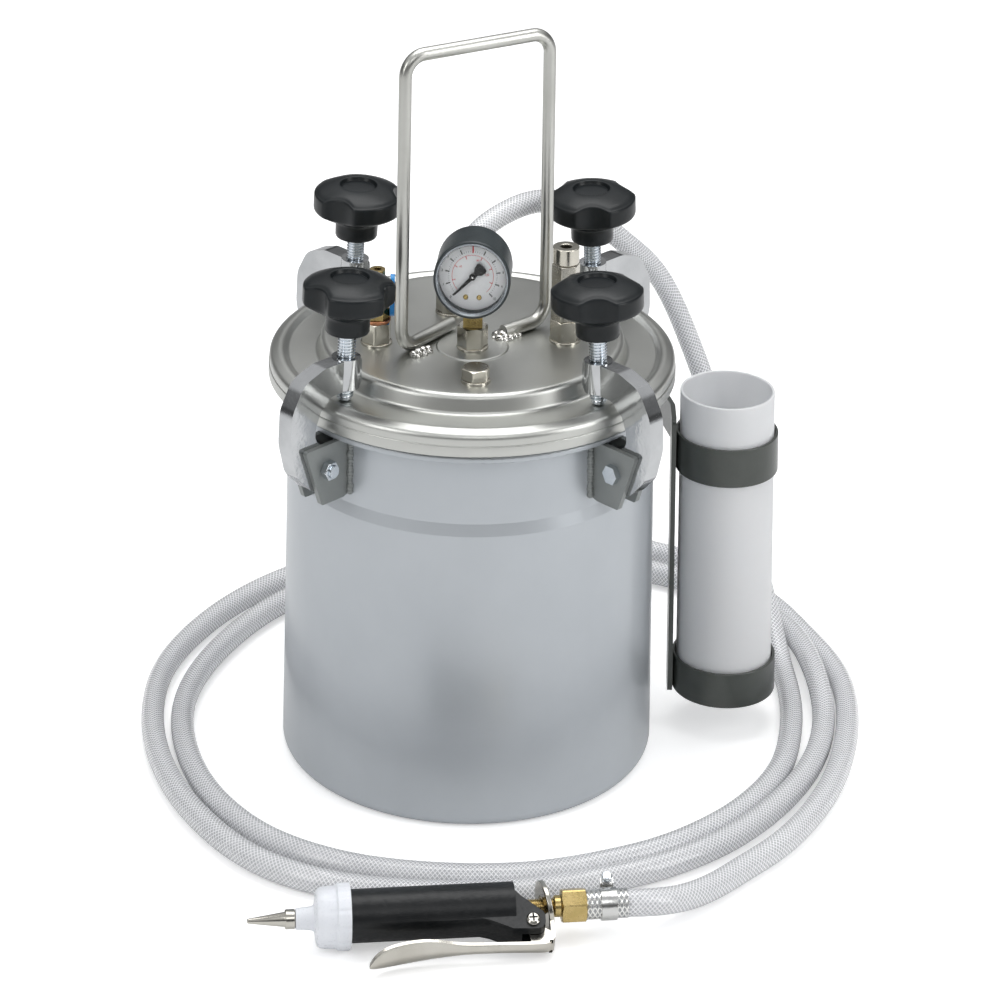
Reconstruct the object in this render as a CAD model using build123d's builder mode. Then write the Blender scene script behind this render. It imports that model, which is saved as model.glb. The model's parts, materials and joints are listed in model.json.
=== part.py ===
"""Pressure pot with a clamped lid, a side bottle, a coiled hose and a spray gun.

Millimetres. The pot stands on z = 0 with its axis on Z. The gauge faces the front (-Y), the
bottle hangs on the right (+X), the hose lies coiled on the floor round the pot, and the gun
lies in front of it. Each piece is written to its own STEP file in parts/.
"""
from build123d import *
import os
import math

os.makedirs("parts", exist_ok=True)

# ---------------------------------------------------------------- driving dimensions
# pot
body_r = 99.0            # outer radius
body_wall = 2.0
body_top = 150.0         # where the body steps in to the neck
neck_r = 97.5
neck_bottom = 156.0
rim_r = 106.0
rim_under = 190.7        # underside of the rim flange
rim_top = 193.7
gasket_t = 2.0

# lid
lid_r = 110.0
lid_sheet = 2.0
lid_base = rim_top + gasket_t
lid_ring_top = 201.5
annulus_z = 206.4        # flat track the clamp screws press on
plateau_r = 82.0
plateau_z = 216.0        # raised centre
pad_t = 0.8

# fittings on the lid: x, y of each
gauge_xy = (0.0, -22.0)
vent_xy = (-51.6, -16.0)
air_xy = (49.7, -9.0)
outlet_xy = (-12.0, 27.0)
plug_xy = (2.0, -63.5)
port_r = 4.5
shank_r = 4.4            # shank of a fitting inside its socket
shank_z = plateau_z + 2
socket_flats = 14.4
socket_h = 12.0
socket_collar_h = 1.0
socket_top = plateau_z + socket_h
gauge_socket_top = plateau_z + pad_t + socket_h
bore_mid_z = 240.0       # mid-height of the long cutters for the vertical bores

# hose
hose_r = 6.2
hose_bore = 4.2


# ---------------------------------------------------------------- helpers
def save(part, name):
    part.label = name
    export_step(part, "parts/" + name + ".step")


def polar(length, degrees):
    """Horizontal vector of a length, at an angle from X."""
    angle = math.radians(degrees)
    return Vector(length * math.cos(angle), length * math.sin(angle), 0)


def upright(place, height):
    """Horizontal plane with its origin over an (x, y) place."""
    return Plane(origin=(*place, height), x_dir=(1, 0, 0), z_dir=(0, 0, 1))


def outline(points):
    """Closed outline through (x, y, corner radius) points, added to the open line builder."""
    count = len(points)
    corners = []         # start, middle and end of the arc at each corner
    for i, (x, y, radius) in enumerate(points):
        corner = Vector(x, y)
        if radius <= 0:
            corners.append((corner, None, corner))
            continue
        to_last = (Vector(*points[i - 1][:2]) - corner).normalized()
        to_next = (Vector(*points[(i + 1) % count][:2]) - corner).normalized()
        half_angle = 0.5 * math.acos(max(-1.0, min(1.0, to_last.dot(to_next))))
        reach = radius / math.tan(half_angle)
        inward = (to_last + to_next).normalized()
        middle = corner + inward * (radius / math.sin(half_angle) - radius)
        corners.append((corner + to_last * reach, middle, corner + to_next * reach))
    for i, (start, middle, end) in enumerate(corners):
        if middle is not None:
            ThreePointArc(start, middle, end)
        following = corners[(i + 1) % count][0]
        if (following - end).length > 1e-6:
            Line(end, following)


def hexagon(across_flats, turn=0.0):
    """Hexagon added to the open sketch."""
    RegularPolygon(radius=hex_radius(across_flats), side_count=6, rotation=turn)


def hex_radius(across_flats):
    return across_flats / 2 / math.cos(math.pi / 6)


def ring(outer, inner):
    """Ring added to the open sketch."""
    Circle(outer)
    Circle(inner, mode=Mode.SUBTRACT)


def revolved(points, plane=Plane.XZ, axis=Axis.Z):
    """Solid of revolution from a rounded outline."""
    with BuildPart() as turned:
        with BuildSketch(plane):
            with BuildLine():
                outline(points)
            make_face()
        revolve(axis=axis)
    return turned.part


def round_stack(plane, *sections):
    """Coaxial round sections along a plane's normal: (start, length, radius, bore or 0)."""
    with BuildPart() as stack:
        for start, length, radius, bore in sections:
            with BuildSketch(plane.offset(start)):
                Circle(radius)
                if bore:
                    Circle(bore, mode=Mode.SUBTRACT)
            extrude(amount=length)
    return stack.part


# ---------------------------------------------------------------- pot
body_bore = body_r - body_wall
neck_bore = neck_r - body_wall

# radius, z, corner radius
save(revolved([
    (0, 0, 0), (body_r, 0, 5.0), (body_r, body_top, 1.5), (neck_r, neck_bottom, 2.0),
    (neck_r, rim_under, 0), (neck_bore, rim_under, 0), (neck_bore, neck_bottom - 0.6, 2.0),
    (body_bore, body_top - 0.6, 1.5), (body_bore, body_wall, 3.0), (0, body_wall, 0),
]), "tank_body")

save(revolved([
    (neck_bore, rim_under, 0), (rim_r, rim_under, 0.8),
    (rim_r, rim_top, 0.8), (neck_bore, rim_top, 0),
]), "tank_rim_flange")

# flat sealing ring between rim and lid
save(round_stack(Plane.XY, (rim_top, gasket_t, 104.0, 96.5)), "lid_gasket")

# ---------------------------------------------------------------- lid
lid_ring_bore = 95.0
skirt_r = 109.6          # outside of the shell's turned-down edge

save(revolved([
    (lid_ring_bore, lid_base, 0), (lid_r, lid_base, 0.7),
    (lid_r, lid_ring_top, 0.7), (lid_ring_bore, lid_ring_top, 0),
]), "lid_rim_ring")

# radius, z, corner radius: out along the top face, back along the underside
lid_profile = [
    (0, plateau_z, 0), (plateau_r - 0.6, plateau_z, 3.2), (plateau_r + 1.4, annulus_z, 2.2),
    (99.2, annulus_z, 2.0), (103.2, 208.9, 3.2), (skirt_r, 206.4, 3.2),
    (skirt_r, lid_ring_top, 0), (skirt_r - lid_sheet, lid_ring_top, 0),
    (skirt_r - lid_sheet, 204.6, 2.0), (103.6, 206.4, 1.8),
    (100.2, annulus_z - lid_sheet, 2.0), (plateau_r - 1.0, annulus_z - lid_sheet, 3.0),
    (plateau_r - 3.4, plateau_z - lid_sheet, 3.4), (0, plateau_z - lid_sheet, 0),
]
with BuildPart() as lid_shell:
    with BuildSketch(Plane.XZ):
        with BuildLine():
            outline(lid_profile)
        make_face()
    revolve(axis=Axis.Z)
    # ports under the screwed sockets
    with Locations(gauge_xy, vent_xy, air_xy, outlet_xy):
        Cylinder(port_r, 600, mode=Mode.SUBTRACT)
save(lid_shell.part, "lid_shell")

with BuildPart() as lid_pad:
    with BuildSketch(Plane.XY.offset(plateau_z)):
        with Locations((0.0, -20.0)):
            Circle(18.5)
        with Locations(gauge_xy):
            Circle(port_r, mode=Mode.SUBTRACT)
    extrude(amount=pad_t)
save(lid_pad.part, "lid_centre_pad")

# bent rod handle with both feet turned inwards
handle_rod = 7.0
handle_top = 375.0
handle_bend_r = 11.0
foot_z = plateau_z + handle_rod / 2
left_leg = Vector(-38.0, -33.0, foot_z)
right_leg = Vector(39.5, 11.0, foot_z)
left_foot_angle = 53.0
left_foot = left_leg + polar(44.0, left_foot_angle)
right_foot = right_leg - polar(30.0, 40.0)
with BuildPart() as handle:
    with BuildLine():
        FilletPolyline(
            left_foot,
            left_leg,
            Vector(left_leg.X, left_leg.Y, handle_top),
            Vector(right_leg.X, right_leg.Y, handle_top),
            right_leg,
            right_foot,
            radius=handle_bend_r,
        )
    with BuildSketch(Plane(origin=left_foot, z_dir=polar(-1, left_foot_angle))):
        Circle(handle_rod / 2)
    sweep()
save(handle.part, "lid_handle")

# hexagonal sockets, each with a small round collar under the flats: place, base z, turn
socket_table = (
    (gauge_xy, plateau_z + pad_t, 8.0),
    (vent_xy, plateau_z, 24.0),
    (air_xy, plateau_z, 12.0),
    (outlet_xy, plateau_z, 0.0),
)
with BuildPart() as sockets:
    for place, base, turn in socket_table:
        with BuildSketch(upright(place, base)):
            Circle(hex_radius(socket_flats) - 0.2)
        extrude(amount=socket_collar_h)
        with BuildSketch(upright(place, base + socket_collar_h)):
            hexagon(socket_flats, turn)
        extrude(amount=socket_h - socket_collar_h)
    with Locations(*[(*place, bore_mid_z) for place, base, turn in socket_table]):
        Cylinder(port_r, 100, mode=Mode.SUBTRACT)
save(sockets.part, "lid_sockets")

# hexagonal blanking plug with a thin washer face
plug_flats = 13.4
plug_washer_t = 1.2
with BuildPart() as plug:
    with BuildSketch(upright(plug_xy, plateau_z)):
        Circle(hex_radius(plug_flats) - 0.1)
    extrude(amount=plug_washer_t)
    with BuildSketch(upright(plug_xy, plateau_z + plug_washer_t)):
        hexagon(plug_flats, 10)
    extrude(amount=6.0)
save(plug.part, "lid_blanking_plug")

# ---------------------------------------------------------------- pressure gauge
gauge_axis_z = 257.2
gauge_r = 20.3
gauge_depth = 25.0
gauge_wall = 1.6
gauge_yaw = 4.0          # degrees the dial is turned from straight ahead

# The centre of the case stands over its socket. On the gauge plane x runs right and y down
# as the dial is read, and z runs from the front of the case to its back.
gauge_inward = polar(1, 90 - gauge_yaw)
gauge_plane = Plane(
    origin=Vector(*gauge_xy, gauge_axis_z) - gauge_inward * (gauge_depth / 2),
    x_dir=polar(1, -gauge_yaw),
    z_dir=gauge_inward,
)

# round shank in the socket, square stem, and the block at the end of the pressure tube
stem_z = gauge_socket_top + 0.2
tube_block_z = gauge_axis_z - 18.0
with BuildPart() as gauge_stem:
    with BuildSketch(upright(gauge_xy, shank_z)):
        Circle(shank_r)
    extrude(amount=stem_z - shank_z)
    with BuildSketch(upright(gauge_xy, stem_z)):
        Rectangle(10.4, 10.4)
    extrude(amount=tube_block_z - stem_z)
    with BuildSketch(upright(gauge_xy, tube_block_z)):
        Rectangle(9.0, 6.0)
    extrude(amount=9.0)
save(gauge_stem.part, "gauge_stem")

with BuildPart() as gauge_case:
    with BuildSketch(gauge_plane):
        ring(gauge_r, gauge_r - gauge_wall)
    extrude(amount=gauge_depth - gauge_wall)
    with BuildSketch(gauge_plane.offset(gauge_depth - gauge_wall)):
        Circle(gauge_r)
    extrude(amount=gauge_wall)
    # opening for the stem
    with BuildSketch(upright(gauge_xy, gauge_axis_z - 30)):
        Rectangle(10.9, 10.9)
    extrude(amount=20.0, mode=Mode.SUBTRACT)
save(gauge_case.part, "gauge_case")

save(round_stack(gauge_plane, (0.8, 1.4, gauge_r - 1.65, 0)), "gauge_lens")

# dial and the two screws below its centre
dial_screw_places = ((-3.6, 11.3), (3.6, 11.3))
with BuildPart() as gauge_dial:
    with BuildSketch(gauge_plane.offset(6.0)):
        ring(gauge_r - 1.75, 1.3)
        with Locations(*dial_screw_places):
            Circle(0.9, mode=Mode.SUBTRACT)
    extrude(amount=0.6)
save(gauge_dial.part, "gauge_dial")

with BuildPart() as dial_screws:
    # head, then shank: depth, length, radius
    for depth, length, radius in ((5.2, 0.75, 1.35), (5.95, 2.0, 0.85)):
        with BuildSketch(gauge_plane.offset(depth)):
            with Locations(*dial_screw_places):
                Circle(radius)
        extrude(amount=length)
save(dial_screws.part, "gauge_dial_screws")

# pointer at rest on the lower left: a long taper and a broad tail
pointer_along = polar(1, -225.0)
pointer_across = polar(1, -315.0)
# distance along from the arbor, half width
pointer_half = ((14.2, 0.15), (0.0, 0.75), (-3.2, 0.9), (-4.2, 2.3), (-6.6, 2.7))
pointer_edge = pointer_half + tuple((along, -width) for along, width in reversed(pointer_half))
pointer_points = [
    pointer_along * along + pointer_across * width for along, width in pointer_edge
]
with BuildPart() as pointer:
    with BuildSketch(gauge_plane.offset(4.2)):
        with BuildLine():
            Polyline(*pointer_points, close=True)
        make_face()
        Circle(1.9)
    extrude(amount=0.5)
save(pointer.part, "gauge_pointer")

# shaft behind the pointer, cap in front of it, and the pinion on the shaft
save(round_stack(
    gauge_plane, (4.7, 12.0, 0.8, 0), (3.6, 0.6, 1.1, 0), (11.0, 2.0, 1.9, 0),
), "gauge_pinion_arbor")

# plain sector beside the pinion, its pivot right of the dial centre
sector_pivot = Vector(11.0, 0.0)
sector_r = 9.0
sector_from, sector_to = 176.0, 242.0
sector_mid = (sector_from + sector_to) / 2
sector_start, sector_middle, sector_end = [
    sector_pivot + polar(sector_r, angle) for angle in (sector_from, sector_mid, sector_to)
]
with BuildPart() as sector:
    with BuildSketch(gauge_plane.offset(11.2)):
        with Locations(sector_pivot):
            Circle(2.2)
        with BuildLine():
            ThreePointArc(sector_start, sector_middle, sector_end)
            Line(sector_end, sector_pivot)
            Line(sector_pivot, sector_start)
        make_face()
    extrude(amount=1.4)
    # round weight on the far side of the pivot
    with BuildSketch(gauge_plane.offset(11.2)):
        with Locations(sector_pivot + polar(4.0, sector_mid - 180.0)):
            Circle(3.2)
    extrude(amount=2.8)
    # pivot hole
    with BuildSketch(gauge_plane.offset(11.0)):
        with Locations(sector_pivot):
            Circle(0.85)
    extrude(amount=3.4, mode=Mode.SUBTRACT)
save(sector.part, "gauge_sector")

# plate behind the sector, with a hole for the arbor and the sector's pivot pin
with BuildPart() as movement:
    with BuildSketch(gauge_plane.offset(14.2)):
        with Locations((5.0, 0.0)):
            Rectangle(17.0, 8.0)
        Circle(0.85, mode=Mode.SUBTRACT)
    extrude(amount=1.2)
    with BuildSketch(gauge_plane.offset(10.2)):
        with Locations(sector_pivot):
            Circle(0.8)
    extrude(amount=4.0)
save(movement.part, "gauge_movement_plate")

# curved pressure tube, open at the bottom for the stem block and at the lower left
with BuildPart() as pressure_tube:
    with BuildSketch(gauge_plane.offset(17.0)):
        ring(17.2, 15.6)
        with Locations((0, 16.0)):
            Rectangle(15.0, 16.0, mode=Mode.SUBTRACT)
        with Locations((-18.7, 16.0)):
            Rectangle(22.6, 28.0, mode=Mode.SUBTRACT)
    extrude(amount=4.4)
save(pressure_tube.part, "gauge_pressure_tube")

# ---------------------------------------------------------------- vent valve (left)
vent_washer_t = 1.4
vent_body_z = socket_top + vent_washer_t
ball_centre = (*vent_xy, vent_body_z + 12.0)
chamber_r = 4.3


def vent_side_plane(distance):
    """Plane across the ball's stem, so far to the right of the ball's centre."""
    x, y, z = ball_centre
    return Plane(origin=(x + distance, y, z), x_dir=(0, 1, 0), z_dir=(1, 0, 0))


save(round_stack(
    upright(vent_xy, socket_top), (0, vent_washer_t, 7.6, 4.6),
), "vent_copper_washer")

with BuildPart() as vent_body:
    with BuildSketch(upright(vent_xy, vent_body_z)):
        hexagon(12.0)
    extrude(amount=5.0)
    # barrel, nose, and the shank in the socket: z, length, radius
    for z, length, radius in (
        (vent_body_z + 5.0, 15.0, 5.8),
        (vent_body_z + 20.0, 6.0, 4.2),
        (shank_z, vent_body_z - shank_z, shank_r),
    ):
        with BuildSketch(upright(vent_xy, z)):
            Circle(radius)
        extrude(amount=length)
    # bore from end to end
    with Locations((*vent_xy, bore_mid_z)):
        Cylinder(2.0, 120, mode=Mode.SUBTRACT)
    with Locations(ball_centre):
        Sphere(chamber_r, mode=Mode.SUBTRACT)
    # side neck the stem turns in
    with BuildSketch(vent_side_plane(0)):
        Circle(3.4)
    extrude(amount=6.6)
    with BuildSketch(vent_side_plane(0)):
        Circle(1.7)
    extrude(amount=12.0, mode=Mode.SUBTRACT)
    # the neck starts at the ball's centre, so the chamber is cleared again
    with Locations(ball_centre):
        Sphere(chamber_r, mode=Mode.SUBTRACT)
save(vent_body.part, "vent_valve_body")

# drilled ball with its stem
stem_r = 1.6
with BuildPart() as vent_ball:
    with Locations(ball_centre):
        Sphere(4.2)
        Cylinder(1.9, 20, mode=Mode.SUBTRACT)
    with BuildSketch(vent_side_plane(3.0)):
        Circle(stem_r)
    extrude(amount=6.8)
save(vent_ball.part, "vent_valve_ball")

# blade handle on the stem's end, lying along the valve
lever_plane = vent_side_plane(7.0)
with BuildPart() as vent_lever:
    with BuildSketch(Plane(origin=lever_plane.origin, x_dir=(0, 0, 1), z_dir=(1, 0, 0))):
        SlotOverall(22.0, 8.0)
        Circle(stem_r, mode=Mode.SUBTRACT)
    extrude(amount=2.4)
save(vent_lever.part, "vent_valve_lever")

# ---------------------------------------------------------------- air coupling (right)
air_turn = 12.0
with BuildPart() as air_body:
    with BuildSketch(upright(air_xy, socket_top)):
        hexagon(14.0, air_turn)
    extrude(amount=9.0)
    # stem, end collar, and the shank in the socket: z, length, radius
    for z, length, radius in (
        (socket_top + 9.0, 21.0, 5.4),
        (socket_top + 30.0, 8.5, 7.2),
        (shank_z, socket_top - shank_z, shank_r),
    ):
        with BuildSketch(upright(air_xy, z)):
            Circle(radius)
        extrude(amount=length)
    with Locations((*air_xy, bore_mid_z)):
        Cylinder(3.1, 140, mode=Mode.SUBTRACT)
save(air_body.part, "air_coupling_body")

with BuildPart() as air_sleeve:
    with BuildSketch(upright(air_xy, socket_top + 14.5)):
        hexagon(13.6, air_turn)
        Circle(5.45, mode=Mode.SUBTRACT)
    extrude(amount=15.0)
save(air_sleeve.part, "air_coupling_sleeve")

# ---------------------------------------------------------------- outlet and dip tube
elbow_r = 5.6
elbow_bore = 2.4
elbow_bore_depth = 50.0
barb_start = Vector(*outlet_xy, socket_top + 9.0)
barb_dir = Vector(14.0, 20.0, 17.0).normalized()
barb_plane = Plane(origin=barb_start, z_dir=barb_dir)

with BuildPart() as outlet_elbow:
    with BuildSketch(upright(outlet_xy, socket_top)):
        hexagon(13.0)
    extrude(amount=4.0)
    with BuildSketch(upright(outlet_xy, socket_top + 4.0)):
        Circle(elbow_r)
    extrude(amount=5.0)
    with Locations(barb_start):
        Sphere(elbow_r)
    with BuildSketch(barb_plane):
        Circle(3.9)
    extrude(amount=18.4)
    with BuildSketch(upright(outlet_xy, shank_z)):
        Circle(shank_r)
    extrude(amount=socket_top - shank_z)
    # bore up to the bend, out through the barb, and rounded where the two meet
    with Locations((*outlet_xy, barb_start.Z - elbow_bore_depth / 2)):
        Cylinder(elbow_bore, elbow_bore_depth, mode=Mode.SUBTRACT)
    with BuildSketch(barb_plane):
        Circle(elbow_bore)
    extrude(amount=30.0, mode=Mode.SUBTRACT)
    with Locations(barb_start):
        Sphere(elbow_bore, mode=Mode.SUBTRACT)
save(outlet_elbow.part, "outlet_elbow")

dip_bottom = 8.0
save(round_stack(
    upright(outlet_xy, dip_bottom), (0, shank_z - 0.1 - dip_bottom, 4.3, 3.3),
), "dip_tube")

# ---------------------------------------------------------------- delivery hose
gun_tip = Vector(-105.3, -216.2, 14.8)
gun_yaw = 6.8            # degrees
gun_dir = polar(1, gun_yaw)     # from the nozzle tip towards the hose

# x, y, z of the hose's centre line
hose_points = [
    # first turn, from the gun to the right and round the back
    (94.0, -190.3, 13.2), (109.0, -179.8, 9.8), (124.0, -165.0, 7.2),
    (138.0, -148.8, 6.4), (164.1, -118.6, 6.4), (188.1, -73.7, 6.4), (202.1, -26.2, 6.4),
    (207.7, 23.2, 6.4), (204.4, 59.8, 6.4), (190.2, 100.8, 6.4), (175.5, 133.6, 6.4),
    (148.0, 172.0, 6.4), (112.6, 197.1, 6.4), (60.0, 214.0, 6.4), (5.0, 212.0, 6.4),
    (-50.0, 196.0, 6.4), (-106.4, 158.0, 6.4), (-141.2, 115.5, 6.4), (-165.2, 59.9, 6.4),
    (-170.2, 12.0, 6.4), (-163.0, -42.0, 6.4), (-142.1, -96.0, 6.4), (-107.2, -143.0, 6.4),
    (-70.0, -165.0, 6.4), (-20.0, -173.5, 6.4),
    # second turn
    (28.2, -170.4, 6.4), (68.5, -158.6, 6.4), (100.0, -144.5, 6.4), (136.6, -116.5, 6.4),
    (168.8, -73.3, 6.4), (187.0, -31.0, 6.4), (194.0, 8.0, 7.2), (193.5, 32.0, 10.5),
    (190.5, 56.0, 12.6), (183.0, 88.0, 13.0), (170.0, 115.4, 10.6), (150.0, 146.0, 7.6),
    (111.6, 171.9, 6.4), (60.0, 188.0, 6.4), (5.0, 188.0, 6.4), (-50.0, 172.0, 6.4),
    (-105.0, 131.1, 6.4), (-137.4, 76.9, 6.4), (-152.6, 22.0, 6.4), (-150.6, -27.1, 6.4),
    (-131.5, -84.0, 6.4), (-99.0, -126.0, 6.4), (-57.4, -149.0, 6.4), (-10.0, -157.2, 6.4),
    # third turn, then up behind the bottle
    (33.3, -154.9, 6.4), (70.0, -143.5, 6.4), (105.0, -125.6, 6.4), (141.1, -92.1, 6.4),
    (165.5, -50.0, 6.4), (175.6, -2.0, 6.4), (177.0, 35.0, 6.4), (174.5, 64.0, 8.0),
    (169.0, 92.0, 24.0), (159.0, 116.0, 56.0), (148.0, 140.0, 92.0), (133.5, 161.0, 128.0),
    (109.0, 156.0, 184.0), (84.5, 131.0, 216.5), (55.0, 105.5, 245.5), (31.0, 79.5, 256.5),
    (8.0, 55.3, 254.0),
]
# two points on each barb's axis keep the ends in line with the barbs
gun_end = [gun_tip + gun_dir * along for along in (180.0, 188.0)]
outlet_end = [barb_start + barb_dir * along for along in (28.0, 20.5)]
with BuildLine() as hose_line:
    Spline(*(gun_end + [Vector(*point) for point in hose_points] + outlet_end))
hose_path = hose_line.edges()[0]
# the long run is solid
with BuildPart() as hose_run:
    with BuildSketch(Plane(origin=hose_path @ 0, z_dir=hose_path % 0)):
        Circle(hose_r)
    sweep(path=hose_path, is_frenet=True)
# open sleeves over the two barbs: barb plane, start along it, length
with BuildPart() as hose_ends:
    for plane, start, length in (
        (Plane(origin=gun_tip, z_dir=gun_dir), 167.0, 12.7),
        (barb_plane, 8.5, 11.7),
    ):
        with BuildSketch(plane.offset(start)):
            ring(hose_r, hose_bore)
        extrude(amount=length)
hose = Compound(children=hose_run.part.solids() + hose_ends.part.solids())
save(hose, "delivery_hose")

# band clamp holding the hose on the outlet barb
save(round_stack(barb_plane, (12.0, 7.0, hose_r + 1.2, hose_r + 0.25)), "outlet_hose_clip")

# ---------------------------------------------------------------- lid clamps
pivot_r = 113.4          # hinge pin, measured from the pot axis
pivot_z = 178.4
pin_d = 6.0
clamp_w = 9.8
web_half_t = 2.6
bracket_gap = 10.0
bracket_t = 3.0
hinge_flats = 8.6        # bolt head and nut
screw_foot_r = 94.5      # where a screw meets the lid
screw_foot_z = 206.7
screw_lean = 2.5         # degrees, the screw leans inwards at its top
screw_d = 9.6
screw_chamfer = 1.5
knob_r = 24.6
knob_h = 29.0
knob_boss_r = 11.7
knob_bottom = 35.2       # along the screw, from its foot

# name: (angle round the pot, angle of the knob's first scallop)
clamps = {
    "front_left": (225.0, 197.0),
    "front_right": (315.0, 210.0),
    "back_left": (135.0, 205.0),
    "back_right": (45.0, 213.0),
}
# distance from the pot axis, z, corner radius
clamp_profile = [
    (86.7, 213.3, 3.0), (108.6, 213.3, 7.0), (115.4, 207.6, 3.0), (118.6, 200.5, 6.0),
    (119.4, 193.6, 5.0), (113.0, 188.9, 4.0), (103.5, 186.2, 6.0), (102.6, 174.0, 8.5),
    (111.5, 166.7, 8.5), (121.5, 168.0, 7.0), (131.6, 178.0, 12.0), (136.2, 194.0, 16.0),
    (135.6, 211.0, 13.0), (127.5, 224.6, 13.0), (113.0, 229.0, 12.0), (86.7, 229.0, 3.0),
]
pocket_profile = [
    (104.0, 218.0, 4.0), (112.0, 217.6, 7.0), (120.2, 209.6, 7.0), (123.4, 199.0, 8.0),
    (123.2, 190.0, 6.0), (119.5, 184.5, 2.0), (123.5, 181.0, 2.0), (128.6, 186.5, 6.0),
    (131.6, 195.0, 10.0), (131.0, 208.6, 10.0), (124.6, 219.6, 10.0), (112.5, 224.6, 8.0),
    (104.0, 224.6, 3.0),
]
plate_profile = [
    (97.55, 161.5, 0), (101.5, 160.2, 1.5), (116.6, 160.2, 1.5), (128.4, 190.6, 1.5),
    (102.0, 190.6, 1.5), (97.55, 188.6, 0),
]
# distance from the screw's axis, height in the knob, corner radius
knob_profile = [
    (0, 0, 0), (knob_boss_r - 0.8, 0, 1.5), (knob_boss_r, 9.2, 1.0), (15.5, 9.6, 3.0),
    (knob_r - 0.6, 14.2, 4.0), (knob_r, 23.6, 2.2), (14.0, 27.8, 10.0), (10.2, knob_h, 0.5),
    (9.6, knob_h - 2.4, 0.4), (0, knob_h - 2.4, 0),
]


def radial_plane(angle):
    """Upright plane through the pot axis: x runs outwards and y up."""
    return Plane(origin=(0, 0, 0), x_dir=polar(1, angle), z_dir=polar(1, angle - 90))


def screw_plane(angle, height):
    """Plane across the screw, its z along the screw, at a height above the screw's foot."""
    lean = math.radians(screw_lean)
    axis = polar(-math.sin(lean), angle) + Vector(0, 0, math.cos(lean))
    foot = polar(screw_foot_r, angle) + Vector(0, 0, screw_foot_z)
    return Plane(origin=foot + axis * height, x_dir=polar(1, angle + 90), z_dir=axis)


def make_clamp(angle):
    """C-shaped arm from the hinge pin over the edge of the lid to the screw."""
    middle = radial_plane(angle)
    with BuildPart() as clamp:
        with BuildSketch(middle):
            with BuildLine():
                outline(clamp_profile)
            make_face()
        extrude(amount=clamp_w / 2, both=True)
        # round boss the screw passes through
        with BuildSketch(screw_plane(angle, 6.9)):
            Circle(7.7)
        extrude(amount=15.6)
        # recessed web on both sides
        for side in (1, -1):
            with BuildSketch(middle.offset(side * web_half_t)):
                with BuildLine():
                    outline(pocket_profile)
                make_face()
            extrude(amount=side * 4.0, mode=Mode.SUBTRACT)
        # screw bore and hinge bore
        with BuildSketch(screw_plane(angle, 0)):
            Circle(screw_d / 2 + 0.06)
        extrude(amount=40.0, mode=Mode.SUBTRACT)
        with BuildSketch(middle.offset(-20)):
            with Locations((pivot_r, pivot_z)):
                Circle(pin_d / 2 + 0.05)
        extrude(amount=40.0, mode=Mode.SUBTRACT)
    return clamp.part


def make_screw(angle):
    """Plain rod with a chamfered foot."""
    with BuildPart() as screw:
        with BuildSketch(screw_plane(angle, 0)):
            Circle(screw_d / 2 - screw_chamfer)
        extrude(amount=screw_chamfer, taper=-44)
        with BuildSketch(screw_plane(angle, screw_chamfer)):
            Circle(screw_d / 2)
        extrude(amount=53.0)
    return screw.part


def make_knob(angle, turn):
    """Three-lobed knob on the top of a screw."""
    base = screw_plane(angle, knob_bottom)
    with BuildPart() as knob:
        with BuildSketch(Plane(origin=base.origin, x_dir=base.x_dir, z_dir=base.y_dir * -1)):
            with BuildLine():
                outline(knob_profile)
            make_face()
        revolve(axis=Axis(base.origin, base.z_dir))
        # three broad scallops between the lobes
        with BuildSketch(screw_plane(angle, knob_bottom + 9.25)):
            with PolarLocations(35.0, 3, start_angle=turn):
                Circle(15.2)
        extrude(amount=40.0, mode=Mode.SUBTRACT)
        # blind hole for the screw
        with BuildSketch(base):
            Circle(screw_d / 2 + 0.05)
        extrude(amount=19.4, mode=Mode.SUBTRACT)
    return knob.part


for name, (angle, knob_turn) in clamps.items():
    save(make_clamp(angle), "clamp_" + name)
    save(make_screw(angle), "clamp_screw_" + name)
    save(make_knob(angle, knob_turn), "knob_" + name)

# bracket plates against the neck, one on each side of every clamp
clamp_planes = [radial_plane(angle) for angle, knob_turn in clamps.values()]
with BuildPart() as brackets:
    for plane in clamp_planes:
        for side in (1, -1):
            with BuildSketch(plane.offset(side * bracket_gap / 2)):
                with BuildLine():
                    outline(plate_profile)
                make_face()
                with Locations((pivot_r, pivot_z)):
                    Circle(pin_d / 2 + 0.03, mode=Mode.SUBTRACT)
            extrude(amount=side * bracket_t)
save(brackets.part, "clamp_brackets")

# hinge bolts, their ends standing out past the far plates
bracket_half = bracket_gap / 2 + bracket_t
bolt_overhang = 6.0
with BuildPart() as hinge_bolts:
    for plane in clamp_planes:
        with BuildSketch(plane.offset(bracket_half)):
            with Locations((pivot_r, pivot_z)):
                hexagon(hinge_flats)
        extrude(amount=3.6)
        with BuildSketch(plane.offset(-bracket_half - bolt_overhang)):
            with Locations((pivot_r, pivot_z)):
                Circle(pin_d / 2)
        extrude(amount=2 * bracket_half + bolt_overhang)
save(hinge_bolts.part, "clamp_hinge_bolts")

with BuildPart() as hinge_nuts:
    for plane in clamp_planes:
        with BuildSketch(plane.offset(-bracket_half)):
            with Locations((pivot_r, pivot_z)):
                hexagon(hinge_flats)
                Circle(pin_d / 2, mode=Mode.SUBTRACT)
        extrude(amount=-4.4)
save(hinge_nuts.part, "clamp_hinge_nuts")

# ---------------------------------------------------------------- bottle and its holder
bottle_x, bottle_y = 139.7, 20.0
bottle_r = 25.8
bottle_wall = 1.6
bottle_base = 19.8
bottle_top = 178.5
band_t = 1.6
band_bore = bottle_r + 0.6
band_r = band_bore + band_t
strap_t = 2.6
strap_half_w = 9.0
strap_top = 166.0
strap_outer_x = bottle_x - band_r     # face against the bands
strap_inner_x = strap_outer_x - strap_t
arm_h = 18.0

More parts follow.
